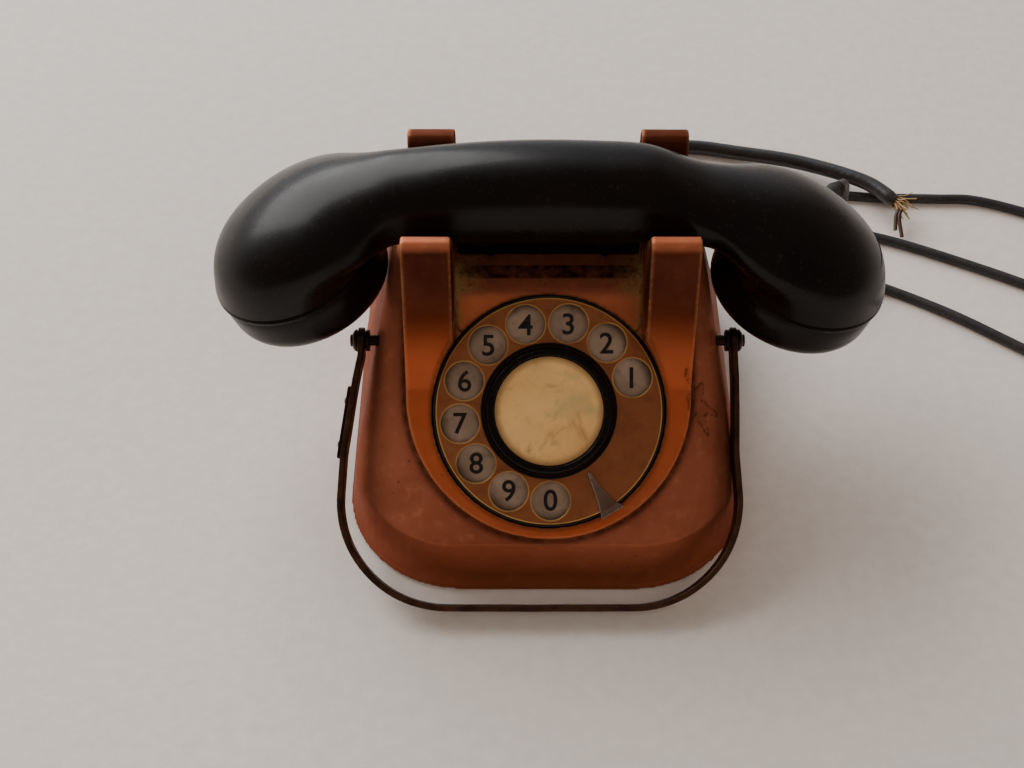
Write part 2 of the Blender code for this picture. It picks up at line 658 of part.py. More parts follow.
def build_finger_stop(dial):
    """A curved blade over the wheel's face, with a foot beyond the wheel's rim."""
    blade = [polar(24.9, STOP_ANGLE + 0.6)]
    shares = [i / 6 for i in range(7)]
    for t in shares:
        blade.append(polar(lerp(STOP_START_R, STOP_END_R, t),
                           STOP_ANGLE + 2.0 + 1.98 * t ** 2.6 + 2.6 * t ** 3))
    for t in shares[::-1]:
        blade.append(polar(lerp(STOP_START_R, STOP_END_R, t), STOP_ANGLE - 0.8 - 5.2 * t))
    stop = sheet("finger_stop", [blade], 0.9, 1.9, finish="finger_stop", parent=dial)
    foot = [polar(radius, STOP_ANGLE + degrees) for radius, degrees in STOP_FOOT]
    weld(stop, sheet("stop_foot", [foot], -1.2, 1.4, parent=dial))


def build_dial():
    dial = axis("dial_axis", DIAL_C, (SLOPE, 0, 0))
    turned("dial_case", CASE_PROFILE, 40, closed=True, finish="dial_case", parent=dial)
    sheet("number_plate", [circle(0, 0, 38.3, 48), circle(0, 0, 16.0, 32)], -4.6, -3.8,
          finish="number_plate", parent=dial)
    build_wheel(dial)
    build_return_spring(dial)
    build_dial_frame(dial)
    build_pulse_cam(dial)
    build_governor(dial)
    box("pulse_contacts", (25.3, -6, -15.0), (30.0, 3.5, -9.5), finish="pulse_contacts",
        parent=dial)
    build_finger_stop(dial)


# ------------------------------------------------------------------------ carrying bail
BAIL_TILT = 34.0                # degrees below level at rest
BAIL_X = 70.1                   # middle of the strip along the arms
BAIL_PIVOT_X = 66.6             # middle of the strip at the eyes
BAIL_SHIFT_RIGHT, BAIL_SHIFT_LEFT = -2.4, -3.3      # slack: the bail hangs a little left
BAIL_REACH = 95.0
BAIL_CORNER = 38.0
BAIL_T, BAIL_W = 2.2, 9.0
EYE_END = 5.5                   # the arms leave the eyes here
PIVOT_PROFILE = [(0, 69.9), (2.8, 69.7), (3.9, 69.1), (4.1, 68.2), (1.9, 68.2), (1.9, 65.0),
                 (3.9, 65.0), (3.9, 63.8), (1.9, 63.8), (1.9, 57.0), (0, 57.0)]


def bail_line(offset):
    """The right half of the bail, moved out by offset; local -Y points to the front bar."""
    eye_x = BAIL_PIVOT_X + offset
    corner_y = -(BAIL_REACH - BAIL_CORNER)
    corner = arc(BAIL_X - BAIL_CORNER, corner_y, BAIL_CORNER + offset, 0, -90, 10)
    return [(eye_x, 0.0), (eye_x, -EYE_END), (eye_x + 0.9, -14.0),
            (BAIL_X + offset, corner_y)] + corner[1:]


def shift_bail(x, y):
    """Move a point sideways, by more the further it is from the pivots, up to a limit."""
    shift = BAIL_SHIFT_RIGHT if x > 0 else BAIL_SHIFT_LEFT
    return (x + shift * min(1.0, max(0.0, (-y - EYE_END) / 35.0)), y)


def build_bail():
    """The bail with an eye on each arm, and its two pivots."""
    pivot = axis("bail_axis", (0, BAIL_Y, BAIL_Z), (math.radians(BAIL_TILT), 0, 0))
    half = BAIL_T / 2
    outer, inner = bail_line(half), bail_line(-half)
    around = (outer + [(-x, y) for x, y in outer[::-1]]
              + [(-x, y) for x, y in inner] + inner[::-1])
    bail = sheet("carrying_bail", [[shift_bail(x, y) for x, y in around]],
                 -BAIL_W / 2, BAIL_W / 2, finish="carrying_bail", parent=pivot)
    for side, word in SIDES:
        weld(bail, rod("eye_" + word, (side * (BAIL_PIVOT_X - half - 0.01), 0, 0),
                       (side * (BAIL_PIVOT_X + half + 0.01), 0, 0), 4.7, 18, parent=pivot))
    for side, word in SIDES:
        cut(bail, rod("eye_hole_" + word, (side * (BAIL_PIVOT_X - 4), 0, 0),
                      (side * (BAIL_PIVOT_X + 4), 0, 0), 2.2, 14, parent=pivot))
        outward = Matrix.Rotation(side * math.pi / 2, 4, 'Y')
        turned("bail_pivot_" + word, PIVOT_PROFILE, 20, finish="bail_pivot",
               matrix=at(0, BAIL_Y, BAIL_Z) @ outward)


# ------------------------------------------------------------------------------ handset
GRIP_HALF_Y, GRIP_HALF_Z = 16.4, 16.2       # half sizes of the grip's middle
GRIP_POWER = 2.5
NECK_TOP = 5.1                  # how far the arched top has dropped where grip meets cups
CUP_R = 31.0
TURN_IN = 8.0                   # from the turning centre to the cup's inner edge
# side in x, centre of the cup's rim, tilt in degrees, height of the cap
CUPS = (dict(word="ear", cap="earpiece_cap", capsule="receiver_capsule",
             side=-1, x=90.0, z=81.6, tilt=18.0, cap_h=20.0),
        dict(word="mouth", cap="mouthpiece_cap", capsule="microphone_capsule",
             side=1, x=91.6, z=77.5, tilt=14.0, cap_h=19.5))
# share of the turn from grip to cup, outer reach from the turning centre (None: up to the
# grip's arched top), half width, squareness
FAN = ((0.0, None, 17.2, GRIP_POWER), (0.17, 28.5, 18.8, 2.35), (0.33, 30.3, 21.2, 2.2),
       (0.51, 36.2, 24.8, 2.05), (0.66, 44.8, 27.8, 2.0), (0.80, 56.0, 30.0, 2.0),
       (0.90, 65.2, 30.8, 2.0), (1.0, 70.0, CUP_R, 2.0))
WELL_PROFILE = [(0, 13.0), (24.0, 13.0), (24.0, -4.0), (0, -4.0)]
BOOT_START = Vector((100.83, 30.87, 83.68))         # in the handle
BOOT_END = Vector((110.4, 46.0, 75.8))
BOOT_R, BOOT_END_R = 3.8, 2.9
BOOT_GAP = 0.15


def section(cx, cz, ux, uz, half_u, half_y, power):
    """A ring in the plane of Y and (ux, uz), in the handset's frame; cz is from the table."""
    points = []
    for i in range(20):
        angle = 2 * math.pi * i / 20
        u = half_u * squared(math.cos(angle), power)
        y = half_y * squared(math.sin(angle), power)
        points.append((cx + ux * u, y, cz + uz * u - HANDLE_Z))
    return points


def cup_directions(cup):
    """In (x, z): from the cup's inner edge to its outer edge, and down its axis."""
    tilt = math.radians(cup["tilt"])
    out = Vector((cup["side"] * math.cos(tilt), -math.sin(tilt)))
    down = Vector((-cup["side"] * math.sin(tilt), -math.cos(tilt)))
    return out, down


def end_sections(cup):
    """Rings fanning about a turning centre, from the grip's end to the cup's rim."""
    out, _ = cup_directions(cup)
    turning = Vector((cup["side"] * cup["x"], cup["z"])) - out * (CUP_R + TURN_IN)
    grip_inner = HANDLE_Z - GRIP_HALF_Z - turning.y
    grip_outer = HANDLE_Z + GRIP_HALF_Z - NECK_TOP - turning.y
    rings = []
    for share, reach, half_y, power in FAN:
        angle = math.radians((90.0 + cup["tilt"]) * share)
        u = Vector((cup["side"] * math.sin(angle), math.cos(angle)))
        inner = lerp(grip_inner, TURN_IN, share ** 1.5)
        outer = grip_outer if reach is None else reach
        middle = turning + u * (inner + outer) / 2
        rings.append(section(middle.x, middle.y, u.x, u.y, (outer - inner) / 2,
                             half_y, power))
    return rings


def grip_sections():
    rings = []
    for x in (-36.0, -18.0, 0.0, 18.0, 36.0):
        drop = NECK_TOP * (x / 52.0) ** 2
        rings.append(section(x, HANDLE_Z - drop / 2, 0.0, 1.0, GRIP_HALF_Z - drop / 2,
                             GRIP_HALF_Y, GRIP_POWER))
    return rings


def cup_matrix(cup):
    """Frame of a cup: origin at the middle of its rim, Z up its axis."""
    out, down = cup_directions(cup)
    z_axis = Vector((-down.x, 0, -down.y))
    x_axis = Vector((out.x, 0, out.y)) * cup["side"]
    matrix = Matrix((x_axis, z_axis.cross(x_axis), z_axis)).transposed().to_4x4()
    matrix.translation = Vector((cup["side"] * cup["x"], 0, cup["z"] - HANDLE_Z)) * MM
    return matrix


def build_cup(cup, grip, lift):
    """The well in the grip's end, the drilled cap under it and the capsule within."""
    frame = cup_matrix(cup)
    low = -cup["cap_h"]
    cut(grip, turned("well_" + cup["word"], WELL_PROFILE, 28, parent=lift, matrix=frame))
    cap_profile = [
        (0, low + 2.8), (20.8, low + 2.8), (20.8, 2.6), (23.2, 2.6), (23.2, -GAP),
        (CUP_R, -GAP), (CUP_R + 0.2, -2.2), (CUP_R - 0.6, low * 0.66),
        (CUP_R - 2.4, low * 0.87), (CUP_R - 6.0, low), (0, low)]
    cap = turned(cup["cap"], cap_profile, 28, finish="handset_cap", parent=lift,
                 matrix=frame)
    for i, (x, y) in enumerate([(0.0, 0.0)] + [polar(8.0, 60 * k) for k in range(1, 7)]):
        cut(cap, rod("%s_drill_%d" % (cup["word"], i), (x, y, low - 2), (x, y, low + 5),
                     1.5, 6, parent=lift, matrix=frame))
    capsule_profile = [(0, 10.0), (12.0, 10.0), (20.0, 7.0), (20.0, low + 4.6),
                       (17.0, low + 3.6), (0, low + 3.6)]
    turned(cup["capsule"], capsule_profile, 28, finish="capsule", parent=lift,
           matrix=frame)


def build_handset():
    lift = axis("handset_axis", (0, HANDLE_Y, HANDLE_Z))
    ear, mouth = CUPS
    rings = end_sections(ear)[::-1] + grip_sections() + end_sections(mouth)
    grip = smooth(loft("handset_grip", rings, finish="handset_grip", parent=lift), 40)
    for cup in CUPS:
        build_cup(cup, grip, lift)

    origin = Vector((0, HANDLE_Y, HANDLE_Z))
    along = (BOOT_END - BOOT_START).normalized()
    start, end = BOOT_START - origin, BOOT_END - origin
    cut(grip, rod("boot_hole", start - along * BOOT_GAP, end, BOOT_R + BOOT_GAP, 14,
                  end_radius=BOOT_END_R + BOOT_GAP, parent=lift))
    rod("handset_cord_boot", start, end, BOOT_R, 14, end_radius=BOOT_END_R,
        finish="cord_boot", parent=lift)


# -------------------------------------------------------------------------------- cords
CORD_STEPS = 3                  # points per stretch between control points
# name, its hole, bevel resolution, control points (x, y, z) outside the housing
CORDS = (
    ("line_cord", "line", 2, (
        (-4, 91, 12.4), (1, 112, 6.0), (18, 138, 3.6), (44, 152, 3.6), (70, 154.5, 3.6),
        (92, 150, 4.0), (119, 141, 6.0), (145, 125, 9.0), (157.5, 110.5, 9.6))),
    ("thin_lead", "lead", 1, (
        (12, 90, 12.4), (17, 106, 6.5), (38, 122, 2.2), (80, 128, 2.2), (120, 125, 2.2),
        (150, 121.5, 2.2), (178, 120.5, 2.2), (196, 119.5, 2.2), (218, 111, 2.2),
        (240, 99, 2.2))),
    ("handset_cord", "handset", 1, (
        (26, 90, 12.4), (36, 102, 6.5), (62, 108, 2.2), (100, 106, 2.2), (128, 101, 2.2),
        (152, 94, 2.2), (180, 81, 2.2), (207, 66.5, 2.2), (231, 51, 2.2), (243, 33, 2.2),
        (237, 16, 2.2), (219, 15, 2.2), (198, 29.5, 2.2), (172, 49, 2.2),
        (146, 64.5, 2.2), (128, 67, 7.0), (119.5, 62.5, 36.0), (115.6, 55.6, 67.0),
        (110.9, 46.9, 75.45))))


def smooth_path(controls):
    """Catmull-Rom points through the control points."""
    p = [Vector(point) for point in controls]
    p = [p[0] * 2 - p[1]] + p + [p[-1] * 2 - p[-2]]
    path = []
    for a, b, c, d in zip(p, p[1:], p[2:], p[3:]):
        for k in range(CORD_STEPS):
            t = k / CORD_STEPS
            path.append(0.5 * ((2 * b) + (c - a) * t + (2 * a - 5 * b + 4 * c - d) * t * t
                               + (3 * b - a - 3 * c + d) * t ** 3))
    path.append(p[-2])
    return path


def build_cords():
    """The grommets in the rear wall and the cords through them."""
    for word, (x, r) in CORD_HOLES.items():
        profile = [(r + GAP, 3.0), (r + 1.8, 3.0), (r + 1.8, -3.4), (r + GAP, -3.4)]
        turned(word + "_cord_grommet", profile, 16, closed=True, finish="cord_grommet",
               matrix=at(x, 81.2, CORD_Z) @ ALONG_Y)
    for name, hole, resolution, outside in CORDS:
        x, r = CORD_HOLES[hole]
        path = smooth_path([(x, 70, CORD_Z), (x, 86, CORD_Z), *outside])
        wire(name, path, r, resolution, finish=name)


build_housing()
build_base()
build_ringer()
build_clapper()
build_electrical()
build_hook()
build_lever()
build_switch()
build_dial()
build_bail()
build_handset()
build_cords()
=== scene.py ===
"""A copper-bodied rotary dial telephone with a black handset, a carrying bail and loose cords.

+Z is up, the front with the dial faces -Y, and the earpiece is on the left, at -X.
Sizes are in millimetres unless a line says metres. Heights are measured from the table, which
lies FOOT below the origin. Dial pieces are drawn flat in the dial's own plane and set by DIAL.
"""
import math
import random

import bpy
import bmesh
import numpy as np
from mathutils import Matrix, Vector, noise


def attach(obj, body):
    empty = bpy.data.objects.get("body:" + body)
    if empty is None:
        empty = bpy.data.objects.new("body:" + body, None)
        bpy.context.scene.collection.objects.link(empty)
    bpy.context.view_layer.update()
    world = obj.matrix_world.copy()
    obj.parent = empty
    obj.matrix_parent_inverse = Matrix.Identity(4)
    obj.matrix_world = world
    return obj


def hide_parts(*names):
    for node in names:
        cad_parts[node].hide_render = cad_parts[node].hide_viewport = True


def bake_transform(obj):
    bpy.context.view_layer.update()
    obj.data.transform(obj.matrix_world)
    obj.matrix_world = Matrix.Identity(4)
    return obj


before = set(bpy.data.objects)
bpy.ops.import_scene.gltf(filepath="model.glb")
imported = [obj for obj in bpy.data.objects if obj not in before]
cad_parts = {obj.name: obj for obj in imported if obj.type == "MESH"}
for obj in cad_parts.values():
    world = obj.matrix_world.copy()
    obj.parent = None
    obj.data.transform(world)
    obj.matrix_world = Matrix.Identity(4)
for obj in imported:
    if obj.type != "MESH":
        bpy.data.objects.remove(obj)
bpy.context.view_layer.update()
RNG = random.Random(7)
MM = 0.001
FOOT = 4.0
DOWN = Matrix.Translation((0, 0, -FOOT * MM))


def at(x, y, z):
    """The point in metres, for a height above the table."""
    return Vector((x, y, z - FOOT)) * MM


def move(x, y, z=0.0):
    return Matrix.Translation((x * MM, y * MM, z * MM))


def place(x, y, z):
    """A frame set at a point, for a height above the table."""
    return DOWN @ Matrix.Translation(Vector((x, y, z)) * MM)


def turn(degrees, axis):
    return Matrix.Rotation(math.radians(degrees), 4, axis)


# Housing levels: height, half width, front y, rear y, corner radius
LIP_Z, CREASE_Z, TOP_Z = 0.9, 24.0, 83.5
HOUSING = (
    (LIP_Z, 72.8, -83.8, 83.4, 43.0),
    (CREASE_Z, 69.5, -80.0, 79.5, 38.0),
    (TOP_Z, 55.0, -8.0, 29.0, 16.0),
)
# The dial lies parallel to the sloping front
SLOPE = math.atan2(TOP_Z - CREASE_Z, HOUSING[2][2] - HOUSING[1][2])
DIAL = place(0.0, -48.0, 58.5) @ Matrix.Rotation(SLOPE, 4, 'X')

# Horns that hold the handset, and the raised band round the dial that runs up into them
HORN_OUT, HORN_IN, HORN_TOP = 49.3, 32.6, 115.6
BAND_TOP = -2.0                 # in the dial's frame
BAND_R = HORN_OUT
BAND_UP = 5.0                   # the band's centre, up the slope from the dial's
HANDLE_Y, HANDLE_Z = 4.8, 111.8

WHEEL_R = 39.0
HOLE_R, HOLE_CIRCLE = 6.6, 30.9
FIRST_HOLE, HOLE_PITCH = 21.9, 360 / 13      # degrees; ten of thirteen places have a hole
LABEL_R = 18.7

PIVOT = (0, -15.0, 58.0)        # the bail's axis runs along X through here
PAD_X, PAD_Y = 46, 60
# Cord exits in the rear wall: x, cord radius, frame node, object
CORD_EXITS = (
    (-4.0, 3.3, "line_cord_grommet", "grommet_line"),
    (12.0, 2.15, "lead_cord_grommet", "grommet_lead"),
    (26.0, 2.15, "handset_cord_grommet", "grommet_flex"),
)


# ---------------------------------------------------------------- materials
def srgb(*channels):
    """8-bit sRGB to linear RGBA."""
    linear = []
    for c in channels:
        c /= 255.0
        linear.append(c / 12.92 if c <= 0.04045 else ((c + 0.055) / 1.055) ** 2.4)
    return (*linear, 1.0)


class Look:
    """A material's nodes, with a running base colour that tints are laid over.

    Colours are 8-bit sRGB. A ramp is (from low, from high[, to low, to high]).
    """

    def __init__(self, name):
        self.material = bpy.data.materials.new(name)
        self.material.use_nodes = True
        self.tree = self.material.node_tree
        self.coords = self.node("TexCoord").outputs["Object"]

    def feed(self, socket, value):
        if isinstance(value, bpy.types.NodeSocket):
            self.tree.links.new(value, socket)
        else:
            socket.default_value = value

    def node(self, kind, inputs=None, **settings):
        node = self.tree.nodes.new("ShaderNode" + kind)
        for key, value in settings.items():
            setattr(node, key, value)
        for key, value in (inputs or {}).items():
            self.feed(node.inputs[key], value)
        return node

    def put(self, name, value):
        self.feed(self.tree.nodes["Principled BSDF"].inputs[name], value)

    def noise(self, scale, detail=5.0, rough=0.55, dist=0.0, coords=None):
        return self.node("TexNoise", {
            "Scale": scale, "Detail": detail, "Roughness": rough, "Distortion": dist,
            "Vector": coords or self.coords}).outputs["Fac"]

    def voronoi(self, scale):
        inputs = {"Scale": scale, "Vector": self.coords}
        return self.node("TexVoronoi", inputs).outputs["Distance"]

    def wave(self, scale, direction, dist, coords=None):
        inputs = {"Scale": scale, "Distortion": dist, "Vector": coords or self.coords}
        return self.node("TexWave", inputs, bands_direction=direction).outputs["Fac"]

    def mapped(self, scale, rotation=(0, 0, 0), location=(0, 0, 0)):
        inputs = {"Scale": scale, "Rotation": rotation, "Location": location,
                  "Vector": self.coords}
        return self.node("Mapping", inputs).outputs["Vector"]

    def attribute(self, name):
        return self.node("Attribute", attribute_name=name).outputs["Fac"]

    def span(self, value, low, high, start=0.0, end=1.0):
        inputs = {"From Min": low, "From Max": high, "To Min": start, "To Max": end,
                  "Value": value}
        return self.node("MapRange", inputs, clamp=True).outputs["Result"]

    def patches(self, scale, ramp, **settings):
        """Noise passed through a ramp."""
        return self.span(self.noise(scale, **settings), *ramp)

    def math(self, operation, first, second=0.0):
        return self.node("Math", {0: first, 1: second}, operation=operation).outputs[0]

    def times(self, first, second):
        return self.math('MULTIPLY', first, second)

    def add(self, first, second):
        return self.math('ADD', first, second)

    def edge(self, low, high):
        return self.span(self.node("NewGeometry").outputs["Pointiness"], low, high)

    def base(self, mask, first, second):
        first, second = (srgb(*c) if isinstance(c, tuple) else c for c in (first, second))
        mix = self.node("Mix", data_type='RGBA')
        for key, value in ((0, mask), (6, first), (7, second)):
            self.feed(mix.inputs[key], value)
        self.colour = mix.outputs[2]

    def tint(self, mask, colour, amount=None):
        if amount is not None:
            mask = self.times(mask, amount)
        self.base(mask, self.colour, colour)

    def bump(self, height, strength, distance, over=None):
        """A bump, its distance in metres, over another bump if one is given."""
        inputs = {"Strength": strength, "Distance": distance, "Height": height}
        if over is not None:
            inputs["Normal"] = over
        return self.node("Bump", inputs).outputs["Normal"]

    def finish(self, roughness, normal, metallic=0.0):
        self.put("Base Color", self.colour)
        self.put("Metallic", metallic)
        self.put("Roughness", roughness)
        self.put("Normal", normal)
        return self.material


def plain(name, first, second, rough, metal, grain, bump, wear=None):
    look = Look(name)
    look.base(look.patches(scale=60, detail=6, ramp=(0.35, 0.68)), first, second)
    if wear:
        look.tint(look.edge(0.52, 0.6), wear, look.patches(scale=300, ramp=(0.4, 0.6)))
    return look.finish(
        metallic=metal,
        roughness=look.patches(scale=90, ramp=(0.3, 0.7, rough * 0.8, min(1.0, rough * 1.25))),
        normal=look.bump(look.noise(scale=grain, detail=4), strength=bump, distance=0.0001))


def copper_material():
    look = Look("copper_patina")
    middle = look.noise(scale=55, detail=7, rough=0.62)
    fine = look.noise(scale=260, detail=6, rough=0.6)
    painted_shade = look.attribute("m_painted_shade")
    # Bare metal in three sizes of patch
    look.base(look.patches(scale=14, detail=4, ramp=(0.35, 0.66)), (152, 86, 62), (178, 106, 80))
    look.tint(look.span(middle, 0.45, 0.75), (120, 60, 38), amount=0.55)
    look.tint(look.span(fine, 0.55, 0.75), (208, 134, 98), amount=0.30)
    # Zones stored on the mesh, each broken up by noise
    look.tint(look.attribute("m_band"), (186, 92, 54),
              look.patches(scale=36, detail=6, rough=0.6, ramp=(0.3, 0.7, 0.55, 1.0)))
    # Painted shade: the side wall below the crease made darker
    look.tint(look.attribute("m_skirt_painted_shade"), (146, 76, 50), look.span(middle, 0.3, 0.7, 0.45, 0.85))
    # Painted shade on the horns' front faces and the rear horns
    look.tint(look.attribute("m_horn_painted_shade"), (50, 15, 8),
              look.patches(scale=36, detail=6, rough=0.6, ramp=(0.3, 0.7, 0.82, 1.0)))
    # Painted highlight on the front horn tips and the face between the front horns
    look.tint(look.attribute("m_painted_highlight"), (205, 118, 80), look.span(middle, 0.3, 0.6, 0.5, 1.0))
    # Painted shade: darkening in corners, at the dial's edge, by the table and under the handset
    look.tint(painted_shade, (34, 16, 10), look.span(fine, 0.3, 0.6, 0.5, 1.0))
    gold = look.times(look.attribute("m_gold"),
                      look.patches(scale=420, detail=6, rough=0.7, ramp=(0.36, 0.56)))
    look.tint(gold, (176, 142, 92))
    specks = look.times(look.span(look.voronoi(scale=170), 0.0, 0.10, 1.0, 0.0),
                        look.patches(scale=30, detail=3, ramp=(0.55, 0.62)))
    look.tint(specks, (44, 20, 12), amount=0.8)
    look.tint(look.attribute("m_stain"), (60, 30, 18), amount=0.75)
    # Lighter edges: partly rubbed bare metal, partly a painted edge highlight
    wear = look.times(look.edge(0.515, 0.57),
                      look.patches(scale=120, ramp=(0.3, 0.6, 0.35, 1.0)))
    look.tint(wear, (206, 140, 98), amount=0.65)
    look.put("Specular IOR Level", 0.2)
    look.put("Specular Tint", (0.42, 0.26, 0.18, 1.0))
    # Gold flecks and the painted shade are duller than the metal
    rough = look.patches(scale=80, detail=6, rough=0.6, ramp=(0.3, 0.7, 0.42, 0.58))
    rough = look.add(rough, look.times(gold, 0.3))
    rough = look.add(rough, look.times(painted_shade, 0.25))
    scratches = look.noise(scale=900, detail=3, rough=0.5, coords=look.mapped((1.0, 0.12, 0.12)))
    normal = look.bump(look.noise(scale=22, detail=3), strength=0.25, distance=0.0006)
    normal = look.bump(fine, strength=0.16, distance=0.0001, over=normal)
    return look.finish(
        metallic=look.span(fine, 0.3, 0.8, 0.62, 0.46), roughness=rough,
        normal=look.bump(scratches, strength=0.10, distance=0.00006, over=normal))


def bakelite_material(name, base, rough):
    look = Look(name)
    mottle = look.patches(scale=46, detail=6, rough=0.6, dist=0.6, ramp=(0.35, 0.7))
    look.base(mottle, base, (base[0] + 8, base[1] + 4, base[2] + 3))
    dust = look.patches(scale=700, detail=3, ramp=(0.62, 0.75))
    look.tint(dust, (70, 64, 58), amount=0.25)
    smears = look.patches(scale=30, detail=6, rough=0.65, ramp=(0.35, 0.7, rough, rough + 0.16))
    hairlines = look.patches(scale=1200, detail=2, rough=0.5, ramp=(0.6, 0.8),
                             coords=look.mapped((0.06, 1.0, 1.0)))
    look.put("Specular IOR Level", 0.17)
    look.put("Coat Weight", 0.04)
    look.put("Coat Roughness", 0.10)
    normal = look.bump(look.noise(scale=26, detail=2), strength=0.10, distance=0.0006)
    return look.finish(
        roughness=look.add(smears, look.times(hairlines, 0.12)),
        normal=look.bump(look.noise(scale=900, detail=3), strength=0.05, distance=0.00005,
                         over=normal))


def wheel_material():
    look = Look("wheel_bronze")
    look.base(look.patches(scale=28, detail=6, rough=0.6, ramp=(0.32, 0.68)),
              (132, 78, 46), (160, 100, 62))
    look.tint(look.patches(scale=160, detail=4, rough=0.6, ramp=(0.5, 0.75)), (92, 52, 30),
              amount=0.45)
    # Object coordinates turned into the dial's plane, in millimetres
    inverse = DIAL.inverted()
    flat = look.mapped(scale=(1000, 1000, 1000), rotation=inverse.to_euler('XYZ'),
                       location=tuple(c * 1000 for c in inverse.to_translation()))
    x, y, _ = look.node("SeparateXYZ", {0: flat}).outputs
    radius = look.math('SQRT', look.add(look.times(x, x), look.times(y, y)))
    # Fold the wheel onto one pitch to measure from the nearest hole's centre
    angle = look.times(look.math('ARCTAN2', y, x), 180 / math.pi)
    angle = look.math('MODULO', look.add(angle, 360.0 - FIRST_HOLE + HOLE_PITCH / 2), 360.0)
    index = look.math('FLOOR', look.math('DIVIDE', angle, HOLE_PITCH))
    folded = look.math('SUBTRACT', angle, look.times(index, HOLE_PITCH))
    folded = look.times(look.math('SUBTRACT', folded, HOLE_PITCH / 2), math.pi / 180)
    hole_x = look.math('SUBTRACT', look.times(radius, look.math('COSINE', folded)), HOLE_CIRCLE)
    hole_y = look.times(radius, look.math('SINE', folded))
    hole_radius = look.math('SQRT', look.add(look.times(hole_x, hole_x),
                                             look.times(hole_y, hole_y)))
    has_hole = look.math('LESS_THAN', index, 9.5)
    # Bright rims round the wheel and the holes
    look.tint(look.span(radius, 38.45, 38.75), (214, 168, 92),
              look.patches(scale=90, detail=4, ramp=(0.3, 0.55, 0.5, 1.0)))
    look.tint(look.times(look.span(hole_radius, 7.25, 6.95), has_hole), (190, 146, 86),
              look.patches(scale=120, detail=4, ramp=(0.3, 0.6, 0.35, 1.0)))
    grain = look.wave(scale=0.9, direction='X', dist=6.0,
                      coords=look.mapped((120, 120, 120), rotation=(-SLOPE, 0, 0)))
    normal = look.bump(look.noise(scale=500, detail=4), strength=0.12, distance=0.00008)
    return look.finish(
        metallic=0.6,
        roughness=look.patches(scale=110, detail=6, ramp=(0.3, 0.7, 0.34, 0.50)),
        normal=look.bump(look.span(grain, 0, 1), strength=0.05, distance=0.00004, over=normal))


def silver_material():
    look = Look("aged_silver_plate")
    look.base(look.patches(scale=60, detail=6, rough=0.65, ramp=(0.34, 0.66)),
              (172, 150, 132), (140, 118, 100))
    look.tint(look.patches(scale=300, ramp=(0.55, 0.72)), (96, 82, 70), amount=0.5)
    # Darker towards the outer and inner edges
    look.tint(look.span(look.attribute("radius_mm"), 34.5, 38.0, 0.0, 0.75), (84, 66, 50))
    look.tint(look.span(look.attribute("radius_mm"), 26.0, 22.5, 0.0, 0.8), (70, 52, 38))
    brushed = look.noise(scale=900, detail=4, rough=0.6, coords=look.mapped((0.15, 1, 1)))
    return look.finish(
        metallic=0.35, roughness=look.patches(scale=140, ramp=(0.3, 0.7, 0.42, 0.6)),
        normal=look.bump(brushed, strength=0.12, distance=0.00006))


def label_material():
    look = Look("stained_card")
    look.base(look.patches(scale=40, detail=6, rough=0.6, ramp=(0.35, 0.65)),
              (244, 200, 128), (226, 176, 104))
    look.tint(look.patches(scale=70, detail=6, rough=0.7, dist=0.8, ramp=(0.55, 0.72)),
              (140, 96, 50), amount=0.7)
    green = look.patches(scale=52, detail=4, coords=look.mapped((1, 1.3, 1)), ramp=(0.56, 0.70))
    look.tint(green, (150, 158, 112), amount=0.5)
    specks = look.times(look.span(look.voronoi(scale=260), 0.02, 0.14, 1.0, 0.0),
                        look.patches(scale=45, detail=3, ramp=(0.52, 0.60)))
    look.tint(specks, (96, 66, 38), amount=0.7)
    look.tint(look.span(look.attribute("radius_mm"), 16.2, 18.6, 0.0, 0.8), (120, 82, 46))
    return look.finish(
        roughness=look.patches(scale=200, detail=4, ramp=(0.3, 0.7, 0.55, 0.75)),
        normal=look.bump(look.noise(scale=650), strength=0.18, distance=0.0001))


def cord_material(name, base, weave_scale, rough, weave_bump):
    look = Look(name)
    look.base(look.patches(scale=90, ramp=(0.3, 0.7)), base,
              (base[0] + 18, base[1] + 16, base[2] + 14))
    look.tint(look.patches(scale=500, detail=4, ramp=(0.6, 0.8)), (96, 88, 80), amount=0.5)
    weave = look.times(
        look.wave(weave_scale, 'DIAGONAL', dist=0.6),
        look.wave(weave_scale, 'DIAGONAL', dist=0.6, coords=look.mapped((-1, 1, 1))))
    normal = look.bump(look.noise(scale=800, detail=3), strength=0.15, distance=0.0001)
    return look.finish(
        roughness=look.patches(scale=200, detail=4, ramp=(0.3, 0.7, rough * 0.8, rough * 1.15)),
        normal=look.bump(weave, strength=weave_bump, distance=0.00015, over=normal))


def bail_material():
    look = Look("bail_strip_metal")
    look.base(look.patches(scale=60, detail=6, rough=0.6, ramp=(0.35, 0.65)),
              (34, 20, 13), (54, 33, 21))
    look.tint(look.attribute("m_edge"), (92, 64, 46),
              look.patches(scale=160, ramp=(0.35, 0.6, 0.15, 0.7)))
    look.tint(look.patches(scale=220, detail=6, ramp=(0.55, 0.7)), (34, 20, 14), amount=0.6)
    return look.finish(
        metallic=0.75, roughness=look.patches(scale=140, detail=6, ramp=(0.3, 0.7, 0.34, 0.55)),
        normal=look.bump(look.noise(scale=420), strength=0.22, distance=0.00012))


def window_material():
    """Mostly transparent, with a faint uneven gloss."""
    look = Look("clear_cover")
    rough = look.patches(scale=120, detail=4, ramp=(0.3, 0.7, 0.12, 0.35))
    mix = look.node("MixShader", {
        0: look.patches(scale=60, ramp=(0.3, 0.7, 0.02, 0.05)),
        1: look.node("BsdfTransparent").outputs[0],
        2: look.node("BsdfGlossy", {"Roughness": rough}).outputs[0]})
    look.feed(look.tree.nodes["Material Output"].inputs["Surface"], mix.outputs[0])
    return look.material


def floor_material():
    look = Look("pale_floor")
    look.base(look.patches(scale=180, ramp=(0.35, 0.65)), (228, 222, 216), (222, 215, 209))
    return look.finish(
        roughness=0.9, normal=look.bump(look.noise(scale=300), strength=0.25, distance=0.0008))


